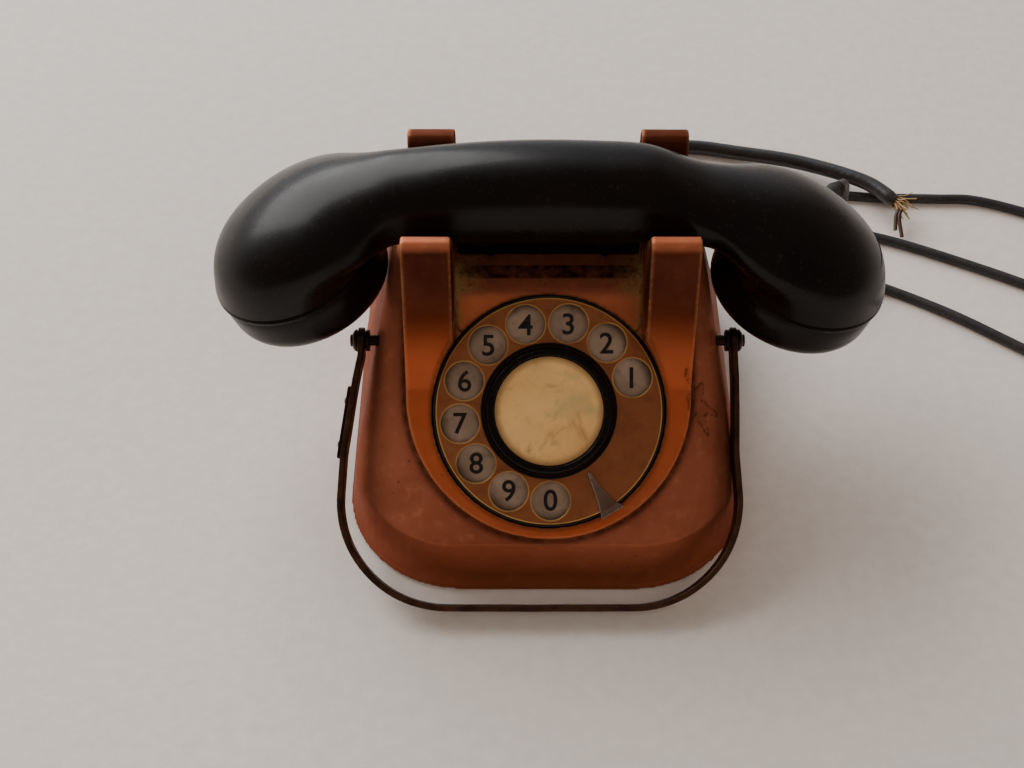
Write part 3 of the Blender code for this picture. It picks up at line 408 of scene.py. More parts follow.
COPPER = copper_material()
BAKELITE = bakelite_material("bakelite_black", base=(9, 7, 7), rough=0.21)
RING = bakelite_material("centre_ring_black", base=(8, 7, 7), rough=0.12)
WHEEL = wheel_material()
SILVER = silver_material()
LABEL = label_material()
BAIL = bail_material()
CORD_THICK = cord_material("line_cord_black", base=(22, 22, 24), weave_scale=156, rough=0.34,
                           weave_bump=0.10)
CORD_THIN = cord_material("thin_cord_black", base=(26, 26, 28), weave_scale=260, rough=0.6,
                          weave_bump=0.35)
# Name, two patch colours, roughness, metallic, grain scale, grain bump, worn edge colour
RUBBER = plain("black_rubber", (20, 19, 18), (34, 32, 30), 0.75, 0.0, 700, 0.2)
CHROME = plain("worn_chrome", (176, 160, 150), (140, 122, 112), 0.22, 1.0, 500, 0.08,
               (225, 220, 212))
STOP_FACE = plain("stop_face_grey", (128, 104, 92), (98, 76, 64), 0.36, 0.8, 500, 0.12)
INK = plain("numeral_enamel", (14, 13, 14), (26, 24, 24), 0.4, 0.0, 900, 0.1)
STEEL = plain("inner_steel", (150, 146, 138), (112, 108, 100), 0.36, 1.0, 400, 0.12,
              (200, 196, 188))
BRASS = plain("inner_brass", (178, 138, 70), (140, 102, 48), 0.32, 1.0, 400, 0.12,
              (220, 186, 112))
DARK = plain("dark_lacquer", (28, 26, 24), (44, 40, 36), 0.5, 0.4, 500, 0.2)
CAN = plain("zinc_can", (140, 142, 140), (110, 112, 112), 0.4, 0.9, 300, 0.15)
WINDING = plain("varnished_winding", (108, 30, 18), (70, 20, 12), 0.42, 0.0, 1200, 0.5)
PAPER = plain("waxed_paper", (112, 76, 38), (84, 54, 26), 0.6, 0.0, 600, 0.3)
PHENOLIC = plain("phenolic_board", (66, 38, 24), (48, 26, 16), 0.5, 0.0, 500, 0.2)
COTTON = plain("frayed_cotton", (190, 158, 112), (150, 118, 78), 0.9, 0.0, 900, 0.4)
WIRE = plain("conductor_cover", (52, 30, 20), (80, 48, 32), 0.5, 0.0, 700, 0.3)
WINDOW = window_material()


# ------------------------------------------------------------- mesh helpers
def scene_object(name, data):
    thing = bpy.data.objects.new(name, data)
    bpy.context.scene.collection.objects.link(thing)
    return thing


def piece(name, mesh, material, body="base", replaces=None, angle=40):
    """Finish a mesh as an object; edges sharper than angle in degrees stay hard, 0 for none."""
    mesh.name = name
    thing = scene_object(name, mesh)
    mesh.materials.clear()
    mesh.materials.append(material)
    mesh.shade_smooth()
    if angle:
        mesh.set_sharp_from_angle(angle=math.radians(angle))
    if body:
        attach(thing, body)
    if replaces:
        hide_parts(replaces)
    return thing


def to_mesh(bm, matrix=Matrix(), outward=True):
    bm.transform(matrix)
    if outward:
        bmesh.ops.recalc_face_normals(bm, faces=bm.faces)
        if bm.calc_volume(signed=True) < 0:
            bmesh.ops.reverse_faces(bm, faces=bm.faces)
    mesh = bpy.data.meshes.new("mesh")
    bm.to_mesh(mesh)
    bm.free()
    return mesh


def from_mesh(mesh):
    bm = bmesh.new()
    bm.from_mesh(mesh)
    return bm


def loft(rings):
    """Closed rings of points in metres joined by quads, each end a fan on a centre point."""
    bm = bmesh.new()
    made = [[bm.verts.new(p) for p in ring] for ring in rings]
    for low, high in zip(made, made[1:]):
        count = len(low)
        for i in range(count):
            k = (i + 1) % count
            bm.faces.new((low[i], low[k], high[k], high[i]))
    for ring in (made[0][::-1], made[-1]):
        centre = bm.verts.new(sum((v.co for v in ring), Vector()) / len(ring))
        for i in range(len(ring)):
            bm.faces.new((ring[i], ring[(i + 1) % len(ring)], centre))
    return to_mesh(bm)


def turned(profile, matrix=Matrix(), segs=96, closed=False):
    """A mesh turned about local Z from a profile of (radius, z)."""
    bm = bmesh.new()
    columns = []
    for k in range(segs):
        a = 2 * math.pi * k / segs
        columns.append([
            None if r < 1e-6 else bm.verts.new((r * MM * math.cos(a), r * MM * math.sin(a), z * MM))
            for r, z in profile])
    axis = [bm.verts.new((0, 0, z * MM)) if r < 1e-6 else None for r, z in profile]
    count = len(profile)
    pairs = [(i, i + 1) for i in range(count - 1)]
    if closed:
        pairs.append((count - 1, 0))
    for k in range(segs):
        here, after = columns[k], columns[(k + 1) % segs]
        for i, j in pairs:
            corners = (here[i] or axis[i], here[j] or axis[j],
                       after[j] or axis[j], after[i] or axis[i])
            corners = list(dict.fromkeys(corners))      # points on the axis come up twice
            if len(corners) > 2:
                bm.faces.new(corners)
    return to_mesh(bm, matrix)


def cylinder(radius, top, bottom, matrix, segs):
    return turned([(0, top), (radius, top), (radius, bottom), (0, bottom)], matrix, segs)


def rounded(profile, radius, steps=3, closed=False):
    """The profile with its corners rounded to about the radius."""
    out = []
    count = len(profile)
    for i in range(count):
        corner = Vector(profile[i])
        if not closed and i in (0, count - 1):
            out.append((corner.x, corner.y))
            continue
        before, after = Vector(profile[i - 1]), Vector(profile[(i + 1) % count])
        cut = min(radius, (before - corner).length * 0.45, (after - corner).length * 0.45)
        start = corner + (before - corner).normalized() * cut
        end = corner + (after - corner).normalized() * cut
        for j in range(steps + 1):
            t = j / steps
            p = start * (1 - t) ** 2 + corner * 2 * t * (1 - t) + end * t * t
            out.append((p.x, p.y))
    return out


def evaluated_mesh(thing):
    bpy.context.view_layer.update()
    graph = bpy.context.evaluated_depsgraph_get()
    return bpy.data.meshes.new_from_object(thing.evaluated_get(graph))


def curve_mesh(curve, matrix=Matrix()):
    work = scene_object("work", curve)
    mesh = evaluated_mesh(work)
    bpy.data.objects.remove(work, do_unlink=True)
    bm = from_mesh(mesh)
    bmesh.ops.remove_doubles(bm, verts=bm.verts, dist=0.000002)
    bpy.data.meshes.remove(mesh)
    return to_mesh(bm, matrix)


def plate(outlines, low, high, bevel, matrix=Matrix(), res=2):
    """A flat outline with any holes, from low to high in z, its edges rounded by bevel."""
    curve = bpy.data.curves.new("plate", 'CURVE')
    curve.dimensions = '2D'
    curve.fill_mode = 'BOTH'
    curve.extrude = ((high - low) / 2 - bevel) * MM
    curve.bevel_depth = bevel * MM
    curve.bevel_resolution = res
    curve.offset = -bevel * MM
    for outline in outlines:
        spline_data = curve.splines.new('POLY')
        spline_data.points.add(len(outline) - 1)
        for point, (x, y) in zip(spline_data.points, outline):
            point.co = (x * MM, y * MM, 0, 1)
        spline_data.use_cyclic_u = True
    return curve_mesh(curve, matrix @ move(0, 0, (low + high) / 2))


def polar(radius, degrees):
    a = math.radians(degrees)
    return (radius * math.cos(a), radius * math.sin(a))


def circle(cx, cy, radius, count=64):
    angles = [2 * math.pi * i / count for i in range(count)]
    return [(cx + radius * math.cos(a), cy + radius * math.sin(a)) for a in angles]


def round_box(half_x, y0, y1, r, steps=5):
    corners = ((half_x - r, y1 - r, 0), (-half_x + r, y1 - r, 90),
               (-half_x + r, y0 + r, 180), (half_x - r, y0 + r, 270))
    outline = []
    for cx, cy, start in corners:
        for i in range(steps + 1):
            a = math.radians(start + 90 * i / steps)
            outline.append((cx + r * math.cos(a), cy + r * math.sin(a)))
    return outline


def spline(stations, per):
    """A Catmull-Rom curve with per points to each stretch."""
    out = []
    p = [np.array(s, float) for s in stations]
    p = [p[0] * 2 - p[1]] + p + [p[-1] * 2 - p[-2]]
    for a, b, c, d in zip(p, p[1:], p[2:], p[3:]):
        for k in range(per):
            t = k / per
            out.append(0.5 * ((2 * b) + (c - a) * t + (2 * a - 5 * b + 4 * c - d) * t * t
                              + (3 * b - a - 3 * c + d) * t ** 3))
    out.append(p[-2])
    return out


def tube(path, radius, segs, taper=0.0):
    """A tube through points in metres; each of its last three rings shrinks by taper."""
    path = [Vector(p) for p in path]
    count = len(path)
    rings = []
    side = (path[1] - path[0]).normalized().cross(Vector((0, 0, 1)))
    side = side.normalized() if side.length > 1e-6 else Vector((1, 0, 0))
    for i, p in enumerate(path):
        along = (path[min(i + 1, count - 1)] - path[max(i - 1, 0)]).normalized()
        side = (side - along * side.dot(along)).normalized()
        other = along.cross(side)
        size = (radius - taper * max(0, i - count + 4)) * MM
        angles = [2 * math.pi * k / segs for k in range(segs)]
        rings.append([p + side * size * math.cos(a) + other * size * math.sin(a) for a in angles])
    return loft(rings)


def combined(mesh, joined=(), cut=(), finish=()):
    """The mesh with others joined and cut, then further modifiers: (type, settings)."""
    work = scene_object("work", mesh)
    helpers = []
    steps = []
    for operation, others in (('UNION', joined), ('DIFFERENCE', cut)):
        for other in others:
            helpers.append(scene_object("helper", other))
            steps.append(('BOOLEAN', dict(operation=operation, object=helpers[-1],
                                          solver='EXACT')))
    for kind, settings in (*steps, *finish):
        modifier = work.modifiers.new(kind.lower(), kind)
        for key, value in settings.items():
            setattr(modifier, key, value)
    result = evaluated_mesh(work)
    for thing in (work, *helpers):
        bpy.data.objects.remove(thing, do_unlink=True)
    return result


def points(mesh):
    flat = np.empty(len(mesh.vertices) * 3, np.float64)
    mesh.vertices.foreach_get("co", flat)
    return flat.reshape(-1, 3)


def store(mesh, name, values):
    layer = mesh.attributes.new(name, 'FLOAT', 'POINT')
    layer.data.foreach_set("value", np.asarray(values, np.float32))


def ramp(value, start, end):
    t = np.clip((value - start) / (end - start), 0, 1)
    return t * t * (3 - 2 * t)


def ridge(distance, width):
    return np.exp(-(distance / width) ** 2)


def dial_coords(coords):
    """Points in metres to x, y and height in the dial's own plane, in millimetres."""
    inverse = np.array(DIAL.inverted())
    local = np.c_[coords, np.ones(len(coords))] @ inverse.T
    return local[:, 0] * 1000, local[:, 1] * 1000, local[:, 2] * 1000


def store_radius(mesh):
    x, y, _ = dial_coords(points(mesh))
    store(mesh, "radius_mm", np.hypot(x, y))


# ------------------------------------------------------------------ housing
HORN_WALL, HORN_INSET = 1.8, 1.9
# In side outlines x is the housing's y and y its height; thickness runs along X
SIDE_PLANE = DOWN @ Matrix(((0, 0, 1, 0), (1, 0, 0, 0), (0, 1, 0, 0), (0, 0, 0, 1)))


def housing_ring(z, inset=0.0, side=0.0, height=None):
    """The housing's outline at z, set in by inset all round and by side more at the sides."""
    low, high = HOUSING[:2] if z <= CREASE_Z else HOUSING[1:]
    t = (z - low[0]) / (high[0] - low[0])
    half, front, rear, corner = [low[i] + (high[i] - low[i]) * t for i in range(1, 5)]
    outline = round_box(half - inset - side, front + inset, rear - inset,
                        max(corner - inset * 0.6 - side * 0.4, 4.0), 14)
    return [at(x, y, z if height is None else height) for x, y in outline]


def band_outline(inset=0.0, top=46.0):
    """A U in the dial's plane, round the dial and up to a notch between the horns."""
    r = BAND_R - inset
    out = [(r, top)]
    for i in range(65):
        a = -math.pi * i / 64
        out.append((r * math.cos(a), BAND_UP + r * math.sin(a)))
    notch, floor, corner = HORN_IN + inset, 26.5 - inset, 5.0
    out += [(-r, top), (-notch, top)]
    for side, start in ((-1, math.pi), (1, -math.pi / 2)):
        for i in range(9):
            a = start + (math.pi / 2) * i / 8
            out.append((side * (notch - corner) + corner * math.cos(a),
                        floor + corner + corner * math.sin(a)))
    out.append((notch, top))
    return out


def horn_front(z, inset=0.0):
    return -26.3 - (114.0 - z) * 0.2844 + inset * 1.03


def horn_rear(z, inset=0.0):
    return 34.8 + (114.0 - z) * 0.22 - inset * 1.03


def horn_outline(d=0.0):
    """A front and a rear horn as (y, z), with a saddle for the handle; d is the inset."""
    half_y, half_z, power = 17.7, 16.7, 2.6
    top = HORN_TOP
    if d > 0:
        out = [(-23.5, 46.0), (-23.5, 86.0), (horn_front(95.0, d), 95.0)]
    else:
        out = [(horn_front(50.0), 50.0)]
    out += [
        (horn_front(top - 3.4, d), top - 3.4 - d * 0.4),
        (horn_front(top - 1.2, d) + 0.7, top - 1.2 - d * 0.8),
        (horn_front(top, d) + 2.2, top - d),
        (-20.8 - d * 0.3, top - 0.4 - d),
        (-19.2 - d * 0.8, top - 2.4 - d * 0.8),
        (-17.6 - d, top - 8.0),
    ]
    for i in range(25):
        a = math.radians(196 + 148 * i / 24)
        across = math.copysign(abs(math.cos(a)) ** (2 / power), math.cos(a))
        out.append((HANDLE_Y + (half_y + d) * across,
                    HANDLE_Z - (half_z + d) * abs(math.sin(a)) ** (2 / power)))
    out += [
        (26.0 + d, top - 8.0),
        (27.7 + d * 0.8, top - 2.4 - d * 0.8),
        (29.2 + d * 0.3, top - 0.4 - d),
        (horn_rear(top, d) - 2.2, top - d),
        (horn_rear(top - 1.2, d) - 0.7, top - 1.2 - d * 0.8),
        (horn_rear(top - 3.4, d), top - 3.4 - d * 0.4),
    ]
    if d > 0:
        return out + [(horn_rear(64.0, d), 64.0), (40.0, 46.0)]
    return out + [(horn_rear(62.0), 62.0), (44.0, 50.0)]


def horn_plates(wall=0.0, inset=0.0, bevel=0.3):
    meshes = []
    for side in (-1, 1):
        x0, x1 = sorted((side * (HORN_IN + wall), side * (HORN_OUT - wall)))
        meshes.append(plate([horn_outline(inset)], x0, x1, bevel, SIDE_PLANE))
    return meshes


def rear_wall(y):
    """A frame on the rear wall at the height of the cords, its z pointing back."""
    return place(0, y, 12.5) @ Matrix.Rotation(-math.pi / 2, 4, 'X')


def housing_cuts():
    """The hollow inside, then the holes through the sheet."""
    cuts = [
        loft([housing_ring(LIP_Z, 2.0, height=-2.0), housing_ring(CREASE_Z - 0.2, 2.0),
              housing_ring(50.0, 2.0), housing_ring(TOP_Z - 1.8, 2.6)]),
        plate([band_outline(1.9, 36.0)], -13.0, BAND_TOP - 1.7, 0.05, DIAL),
        *horn_plates(HORN_WALL, HORN_INSET, 0.05),
        cylinder(40.35, 24, -16, DIAL, 128),
    ]
    for x, radius, _, _ in CORD_EXITS:
        cuts.append(cylinder(radius + 2.1, 12, -12, move(x, 0) @ rear_wall(81), 32))
    for x in (-20.0, 20.0):
        cuts.append(cylinder(2.6, 90, 76, DOWN @ move(x, 5.6), 24))
    for side in (-1, 1):
        matrix = DOWN @ move(*PIVOT) @ Matrix.Rotation(side * math.pi / 2, 4, 'Y')
        cuts.append(cylinder(2.4, 66, 54, matrix, 24))
    return cuts


def store_housing_masks(mesh):
    """Store where each tint of the copper lies."""
    coords = points(mesh)
    dial_x, dial_y, rise = dial_coords(coords)
    x, y, z = coords[:, 0] * 1000, coords[:, 1] * 1000, coords[:, 2] * 1000 + FOOT
    across = np.abs(x)
    between = across < HORN_IN
    band_reach = np.where(dial_y > BAND_UP, np.abs(dial_x), np.hypot(dial_x, dial_y - BAND_UP))
    horns = (across > HORN_IN - 1.0) & (across < HORN_OUT + 1.0)
    store(mesh, "m_band", ramp(rise, -4.6, -3.0) * ramp(band_reach, 50.6, 49.6) * ramp(z, 104, 84))
    # Painted shade on the horns' front faces and on the rear horns, kept off the front tips
    front = ramp(z, 70, 92) * ramp(y, -16.0, -22.0) * horns
    rear = ramp(z, 84, 92) * ramp(y, 20, 26) * horns
    tips = ramp(z, 112.4, 114.8)
    store(mesh, "m_horn_painted_shade", np.clip(front * (1 - tips) * 0.9 + rear * 0.8, 0, 1))
    # Painted highlight on the front horn tips and on the sloping face between the front horns
    face = (across < HORN_IN - 1.5) * (dial_y > 28) * (y < -4) * ramp(z, 80.5, 78.0)
    store(mesh, "m_painted_highlight", np.clip(tips * horns * (y < 0) * 0.4 + face, 0, 1))
    # Painted shade in the corner below the band, at the dial's edge, low down by the table and
    # behind the face under the handset
    foot_line = (ridge(band_reach - 50.4, 1.5) * ramp(rise, -3.2, -5.4) * ramp(z, 20, 26)
                 * (dial_y < 40))
    bore_line = ridge(np.hypot(dial_x, dial_y) - 41.0, 0.7) * (rise > -4.0)
    wide = across < HORN_IN + 0.6
    panel = wide & (dial_y > 24.5) & (y < -2)
    shade = ramp(z, 79.0, 81.8) * panel * 0.5 + wide * (y >= -8) * (z > 70) * 0.6
    store(mesh, "m_painted_shade", np.clip(foot_line * 0.85 + bore_line * 0.5 + ramp(z, 3.2, 1.0) * 0.5
                                  + shade * 0.9, 0, 1))
    panel_edge = np.clip(np.minimum(HORN_IN - across, dial_y - 26.5), 0, None)
    gold = ridge(panel_edge, 1.9) * panel * ramp(rise, -1.2, -3.0)
    top_line = ridge(z - 81.5, 2.4) * between * (y < 2) * ramp(across, 20, 31)
    store(mesh, "m_gold", np.clip(gold + top_line * 0.9, 0, 1))
    # Painted shade on the side wall below the crease
    store(mesh, "m_skirt_painted_shade", ramp(z, 25.0, 23.0))
    # An old water mark on the right shoulder, a wavy ring with short arms
    stain_x, stain_y = x - 52.5, y + 40.5
    angle = np.arctan2(stain_y, stain_x)
    reach = np.hypot(stain_x, stain_y)
    star = 4.6 + 2.1 * np.sin(5 * angle + 0.7) + 0.8 * np.sin(11 * angle)
    store(mesh, "m_stain", ridge(reach - star, 0.42) * (z > 25) * (z < 70) * 0.9
          + (reach < star) * (z > 25) * (z < 70) * 0.18)


def build_housing():
    rings = [housing_ring(LIP_Z, -0.5), housing_ring(LIP_Z + 0.9, -0.5),
             housing_ring(LIP_Z + 1.8, 0.25)]
    rings += [housing_ring(z) for z in (5.0, 10.0, 16.0, CREASE_Z, 30.0, 44.0, 60.0, 74.0, 80.6)]
    rings += [housing_ring(TOP_Z - 1.0, 0.6, 1.0), housing_ring(TOP_Z, 2.2, 3.0)]
    band = plate([band_outline()], -8.0, BAND_TOP, 0.3, DIAL)
    mesh = combined(
        loft(rings), joined=[band, *horn_plates()], cut=housing_cuts(),
        finish=[('REMESH', dict(mode='VOXEL', voxel_size=0.00080, adaptivity=0.0)),
                ('SMOOTH', dict(factor=0.5, iterations=3))])
    # Gentle dents and waviness in the sheet
    bm = from_mesh(mesh)
    for v in bm.verts:
        v.co += v.normal * (noise.noise(v.co * 42.0) * 0.00016)
    mesh = to_mesh(bm, outward=False)
    store_housing_masks(mesh)
    piece("copper_body", mesh, COPPER, replaces="housing_shell", angle=0)


# --------------------------------------------------------------------- dial
HOLE_CENTRES = [polar(HOLE_CIRCLE, FIRST_HOLE + HOLE_PITCH * i) for i in range(10)]


def build_number_plate():
    case = [(38.75, -1.5), (39.9, -1.5), (39.9, -6.2), (4.6, -6.2), (4.6, -5.0), (38.75, -5.0)]
    piece("dial_case_ring", turned(rounded(case, 0.2, closed=True), DIAL, 128, closed=True),
          DARK, replaces="dial_case")
    bm = from_mesh(plate([circle(0, 0, 38.3, 128), circle(0, 0, 16.0)], -4.6, -3.8, 0.1, DIAL))
    bmesh.ops.triangulate(bm, faces=bm.faces)
    bmesh.ops.subdivide_edges(bm, edges=[e for e in bm.edges if e.calc_length() > 0.006],
                              cuts=3, use_grid_fill=False)
    mesh = to_mesh(bm)
    store_radius(mesh)
    piece("numeral_ring", mesh, SILVER, replaces="number_plate")
    for i, (x, y) in enumerate(HOLE_CENTRES):
        digit = (i + 1) % 10
        text = bpy.data.curves.new("numeral", 'FONT')
        text.body = "I" if digit == 1 else str(digit)       # the 1 is a plain upright bar
        text.size = 10.2 * MM
        text.align_x = 'LEFT'
        text.align_y = 'BOTTOM_BASELINE'
        text.extrude = 0.05 * MM
        text.offset = 0.13 * MM
        mesh = curve_mesh(text)
        coords = points(mesh)
        middle = (coords.min(0) + coords.max(0)) / 2
        mesh.transform(DIAL @ move(x, y, -3.74)
                       @ Matrix.Translation((-middle[0], -middle[1], 0)))
        piece("numeral_%d" % digit, mesh, INK, angle=30)


def split_big_faces(bm):
    bmesh.ops.triangulate(bm, faces=[f for f in bm.faces if len(f.verts) > 4])


def build_finger_wheel():
    """The wheel, its outer part curving down and its hole rims raised."""
    outlines = [circle(0, 0, WHEEL_R, 160)]
    outlines += [circle(x, y, HOLE_R, 56) for x, y in HOLE_CENTRES]
    outlines.append(circle(0, 0, 3.4, 32))
    bm = from_mesh(plate(outlines, -1.15, 0.0, 0.28, res=3))
    split_big_faces(bm)
    for limit in (0.009, 0.005):
        bmesh.ops.subdivide_edges(bm, edges=[e for e in bm.edges if e.calc_length() > limit],
                                  cuts=1)
        split_big_faces(bm)
    rims = []
    for v in bm.verts:
        x, y = v.co.x * 1000, v.co.y * 1000
        gap = min(abs(math.hypot(x - cx, y - cy) - HOLE_R) for cx, cy in HOLE_CENTRES)
        rims.append(math.exp(-(gap / 0.32) ** 2))
        drop = 0.35 * MM * max(0.0, (math.hypot(x, y) - 33.0) / 6.0) ** 2 * 0.5
        v.co.z += 0.22 * MM * math.exp(-(gap / 0.5) ** 2) - drop
    mesh = to_mesh(bm, DIAL)
    store(mesh, "m_rim", rims)
    store_radius(mesh)
    piece("dial_wheel_plate", mesh, WHEEL, "dial_wheel", "finger_wheel", 35)


def build_dial_centre():
    ring = [(19.0, 2.5), (19.4, 2.95), (20.3, 3.1), (21.2, 2.7), (21.8, 1.8), (22.25, 0.5),
            (22.0, 0.28), (16.4, 0.28), (16.4, 0.7), (19.0, 0.7)]
    piece("black_centre_ring", turned(rounded(ring, 0.25, closed=True), DIAL, 128, closed=True),
          RING, "dial_wheel", "centre_ring", 50)
    angles = [2 * math.pi * k / 14 for k in range(14)]
    bead = [(22.9 + 0.55 * math.cos(a), 0.42 + 0.5 * math.sin(a)) for a in angles]
    piece("black_outer_bead", turned(bead, DIAL, 128, closed=True), RING,
          "dial_wheel", angle=0)
    card = [(LABEL_R * k / 12, 1.42 - 0.1 * (k / 12) ** 2) for k in range(13)]
    card += [(LABEL_R, 1.0), (0, 1.0)]
    mesh = turned(card, DIAL)
    store_radius(mesh)
    piece("paper_label", mesh, LABEL, "dial_wheel", "label_card")
    cover = [(0, 2.3), (12, 2.25), (LABEL_R, 2.05), (LABEL_R, 1.65), (0, 1.65)]
    piece("label_cover", turned(rounded(cover, 0.15, 2), DIAL), WINDOW,
          "dial_wheel", "label_window")


def build_finger_stop():
    """A blade with a curved right edge, a smaller raised face and a foot at the dial's rim."""
    blade = [polar(24.9, -57.4)]
    for i in range(15):
        t = i / 14
        blade.append(polar(25.4 + 16.0 * t, -56.0 + 1.98 * t ** 2.6 + 2.6 * t ** 3))
    for i in range(15):
        t = 1 - i / 14
        blade.append(polar(25.4 + 16.0 * t, -58.8 - 5.2 * t))
    piece("finger_stop_blade", plate([blade], 0.88, 1.9, 0.3, DIAL, 3), CHROME,
          replaces="finger_stop", angle=30)
    centre = Vector([sum(column) / len(blade) for column in zip(*blade)])
    face = [tuple(centre + (Vector(p) - centre) * 0.74) for p in blade]
    piece("finger_stop_face", plate([face], 1.7, 2.02, 0.1, DIAL), STOP_FACE, angle=30)
    foot = [polar(39.35, -62.2), polar(40.05, -62.2), polar(40.05, -54.8), polar(39.35, -54.8)]
    piece("finger_stop_foot", plate([foot], -1.2, 1.3, 0.1, DIAL, 1), CHROME, angle=30)


# ------------------------------------------------------------------ handset
CUP_R, NECK_R = 31.0, 24.0
GRIP_HALF = 16.2
# Each cup: side, centre of its rim, tilt in degrees, cap height, number of holes
EAR = dict(side=-1, x=90.0, z=81.6, tilt=18.0, height=20.0, holes=7)
MOUTH = dict(side=1, x=91.6, z=77.5, tilt=14.0, height=19.5, holes=19)
# Grip to cup: share of the bend, outer reach, half width, squareness of outer and inner half
BEND = (
    (0.0, 29.3, 17.0, 2.30, 2.5), (0.17, 28.5, 18.9, 2.10, 2.4),
    (0.33, 30.3, 21.8, 1.92, 2.3), (0.51, 36.2, 25.6, 1.84, 2.15),
    (0.66, 44.8, 28.6, 1.86, 2.05), (0.80, 56.0, 30.3, 1.93, 2.0),
    (0.90, 65.2, 30.9, 1.98, 2.0), (1.0, 70.0, CUP_R, 2.0, 2.0),
)


def cup_axes(cup):
    """The cup's outward and downward directions, as (x, z)."""
    a = math.radians(cup["tilt"])
    return (Vector((cup["side"] * math.cos(a), -math.sin(a))),
            Vector((-cup["side"] * math.sin(a), -math.cos(a))))


def bend_sections(cup):
    """Sections fanned about a pivot: x, z, angle, half height, half width, squarenesses."""
    out, _ = cup_axes(cup)
    side = cup["side"]
    pivot = Vector((side * cup["x"], cup["z"])) - out * (CUP_R + 8.0)
    first_inner = HANDLE_Z - GRIP_HALF - pivot.y
    sections = []
    for share, outer, half_width, square_out, square_in in BEND:
        a = math.radians((90.0 + cup["tilt"]) * share)
        inner = first_inner + (8.0 - first_inner) * share ** 1.5
        middle = pivot + Vector((side * math.sin(a), math.cos(a))) * (inner + outer) / 2
        sections.append([middle.x, middle.y, side * a, (outer - inner) / 2, half_width,
                         square_out, square_in])
    return sections


def cup_matrix(cup):
    out, down = cup_axes(cup)
    z_axis = Vector((-down.x, 0, -down.y))
    x_axis = Vector((out.x, 0, out.y)) * cup["side"]
    matrix = Matrix((x_axis, z_axis.cross(x_axis), z_axis)).transposed().to_4x4()
    matrix.translation = at(cup["side"] * cup["x"], HANDLE_Y, cup["z"])
    return matrix


def eased_sections(sections):
    """190 sections on a cubic through the given ones, with the joins smoothed."""
    rows = np.array(sections)
    steps = (np.hypot(np.diff(rows[:, 0]), np.diff(rows[:, 1]))
             + 16 * np.abs(np.diff(rows[:, 2])))
    along = np.r_[0, np.cumsum(steps)]
    slope = np.gradient(rows, along, axis=0)
    slope[0] = (rows[1] - rows[0]) / (along[1] - along[0])
    slope[-1] = (rows[-1] - rows[-2]) / (along[-1] - along[-2])
    fine = []
    for place_along in np.linspace(0, along[-1], 190):
        i = min(int(np.searchsorted(along, place_along, 'right')) - 1, len(along) - 2)
        h = along[i + 1] - along[i]
        t = (place_along - along[i]) / h
        fine.append(rows[i] * (2 * t ** 3 - 3 * t ** 2 + 1)
                    + slope[i] * h * (t ** 3 - 2 * t ** 2 + t)
                    + rows[i + 1] * (3 * t ** 2 - 2 * t ** 3)
                    + slope[i + 1] * h * (t ** 3 - t ** 2))
    fine = np.array(fine)
    for _ in range(10):
        fine[2:-2] = (fine[1:-3] + fine[2:-2] * 2 + fine[3:-1]) / 4
    return fine


def handset_ring(x, z, angle, half_height, half_width, square_out, square_in, count=112):
    ring = []
    for i in range(count):
        a = 2 * math.pi * i / count
        c, s = math.cos(a), math.sin(a)
        power = (square_out + square_in) / 2 + (square_out - square_in) / 2 * math.tanh(c * 5.0)
        up = half_height * math.copysign(abs(c) ** (2 / power), c)
        across = half_width * math.copysign(abs(s) ** (2 / power), s)
        ring.append(at(x + math.sin(angle) * up, HANDLE_Y + across, z + math.cos(angle) * up))
    return ring


def neck_rings(cup, rim):
    """The cup's rim drawn in to the neck, then carried up inside the cup."""
    matrix = cup_matrix(cup)
    inverse = matrix.inverted()
    flat = [inverse @ p for p in rim]
    return [[matrix @ Vector((p.x * NECK_R / CUP_R, p.y * NECK_R / CUP_R, up * MM)) for p in flat]
            for up in (0.0, 12.8)]


def build_handset_body():
    sections = bend_sections(EAR)[::-1]
    for x in (-34.0, -17.0, 0.0, 17.0, 34.0):
        thinning = 5.1 * (x / 52.0) ** 2
        sections.append([x, HANDLE_Z - thinning / 2, 0.0, GRIP_HALF - thinning / 2, 16.4,
                         2.4, 2.5])
    sections += bend_sections(MOUTH)
    rings = [handset_ring(*row) for row in eased_sections(sections)]
    rings = neck_rings(EAR, rings[0])[::-1] + rings + neck_rings(MOUTH, rings[-1])
    piece("handset_body", loft(rings), BAKELITE, "handset", "handset_grip", 60)


def build_cap(cup, name, node):
    """A cap hanging below the cup's rim, with blind holes in its face."""
    matrix, h = cup_matrix(cup), cup["height"]
    profile = [(0, -h + 2.8), (20.8, -h + 2.8), (20.8, 2.6), (23.2, 2.6), (23.2, -0.15),
               (30.2, -0.15), (30.45, -0.3)]
    profile += [(30.6 + 0.75 * math.sin(math.pi * k / 8), -0.45 - 2.3 * k / 8) for k in range(9)]
    profile += [(30.25, -3.0), (30.35, -3.5), (30.6, -4.2), (30.75, -6.0), (30.75, -8.5),
                (30.6, -11.0)]
    profile += [(30.6 - 6.8 * (1 - math.sqrt(max(0.0, 1 - (k / 12) ** 2))),
                 -11.0 - (h - 11.6) * k / 12) for k in range(1, 12)]
    profile += [(24.6, -h + 0.25), (23.4, -h), (21.6, -h + 0.2), (19.0, -h + 1.2), (0, -h + 1.5)]
    spots = [(0, 0)] + [polar(5.5, 60 * k) for k in range(6)]
    spots += [polar(11.0, 30 * k) for k in range(12)]
    drills = [cylinder(1.15, -h + 5, -h - 3, matrix @ move(x, y), 16)
              for x, y in spots[:cup["holes"]]]
    piece(name, combined(turned(profile, matrix, 112), cut=drills), BAKELITE,
          "handset", node, 38)


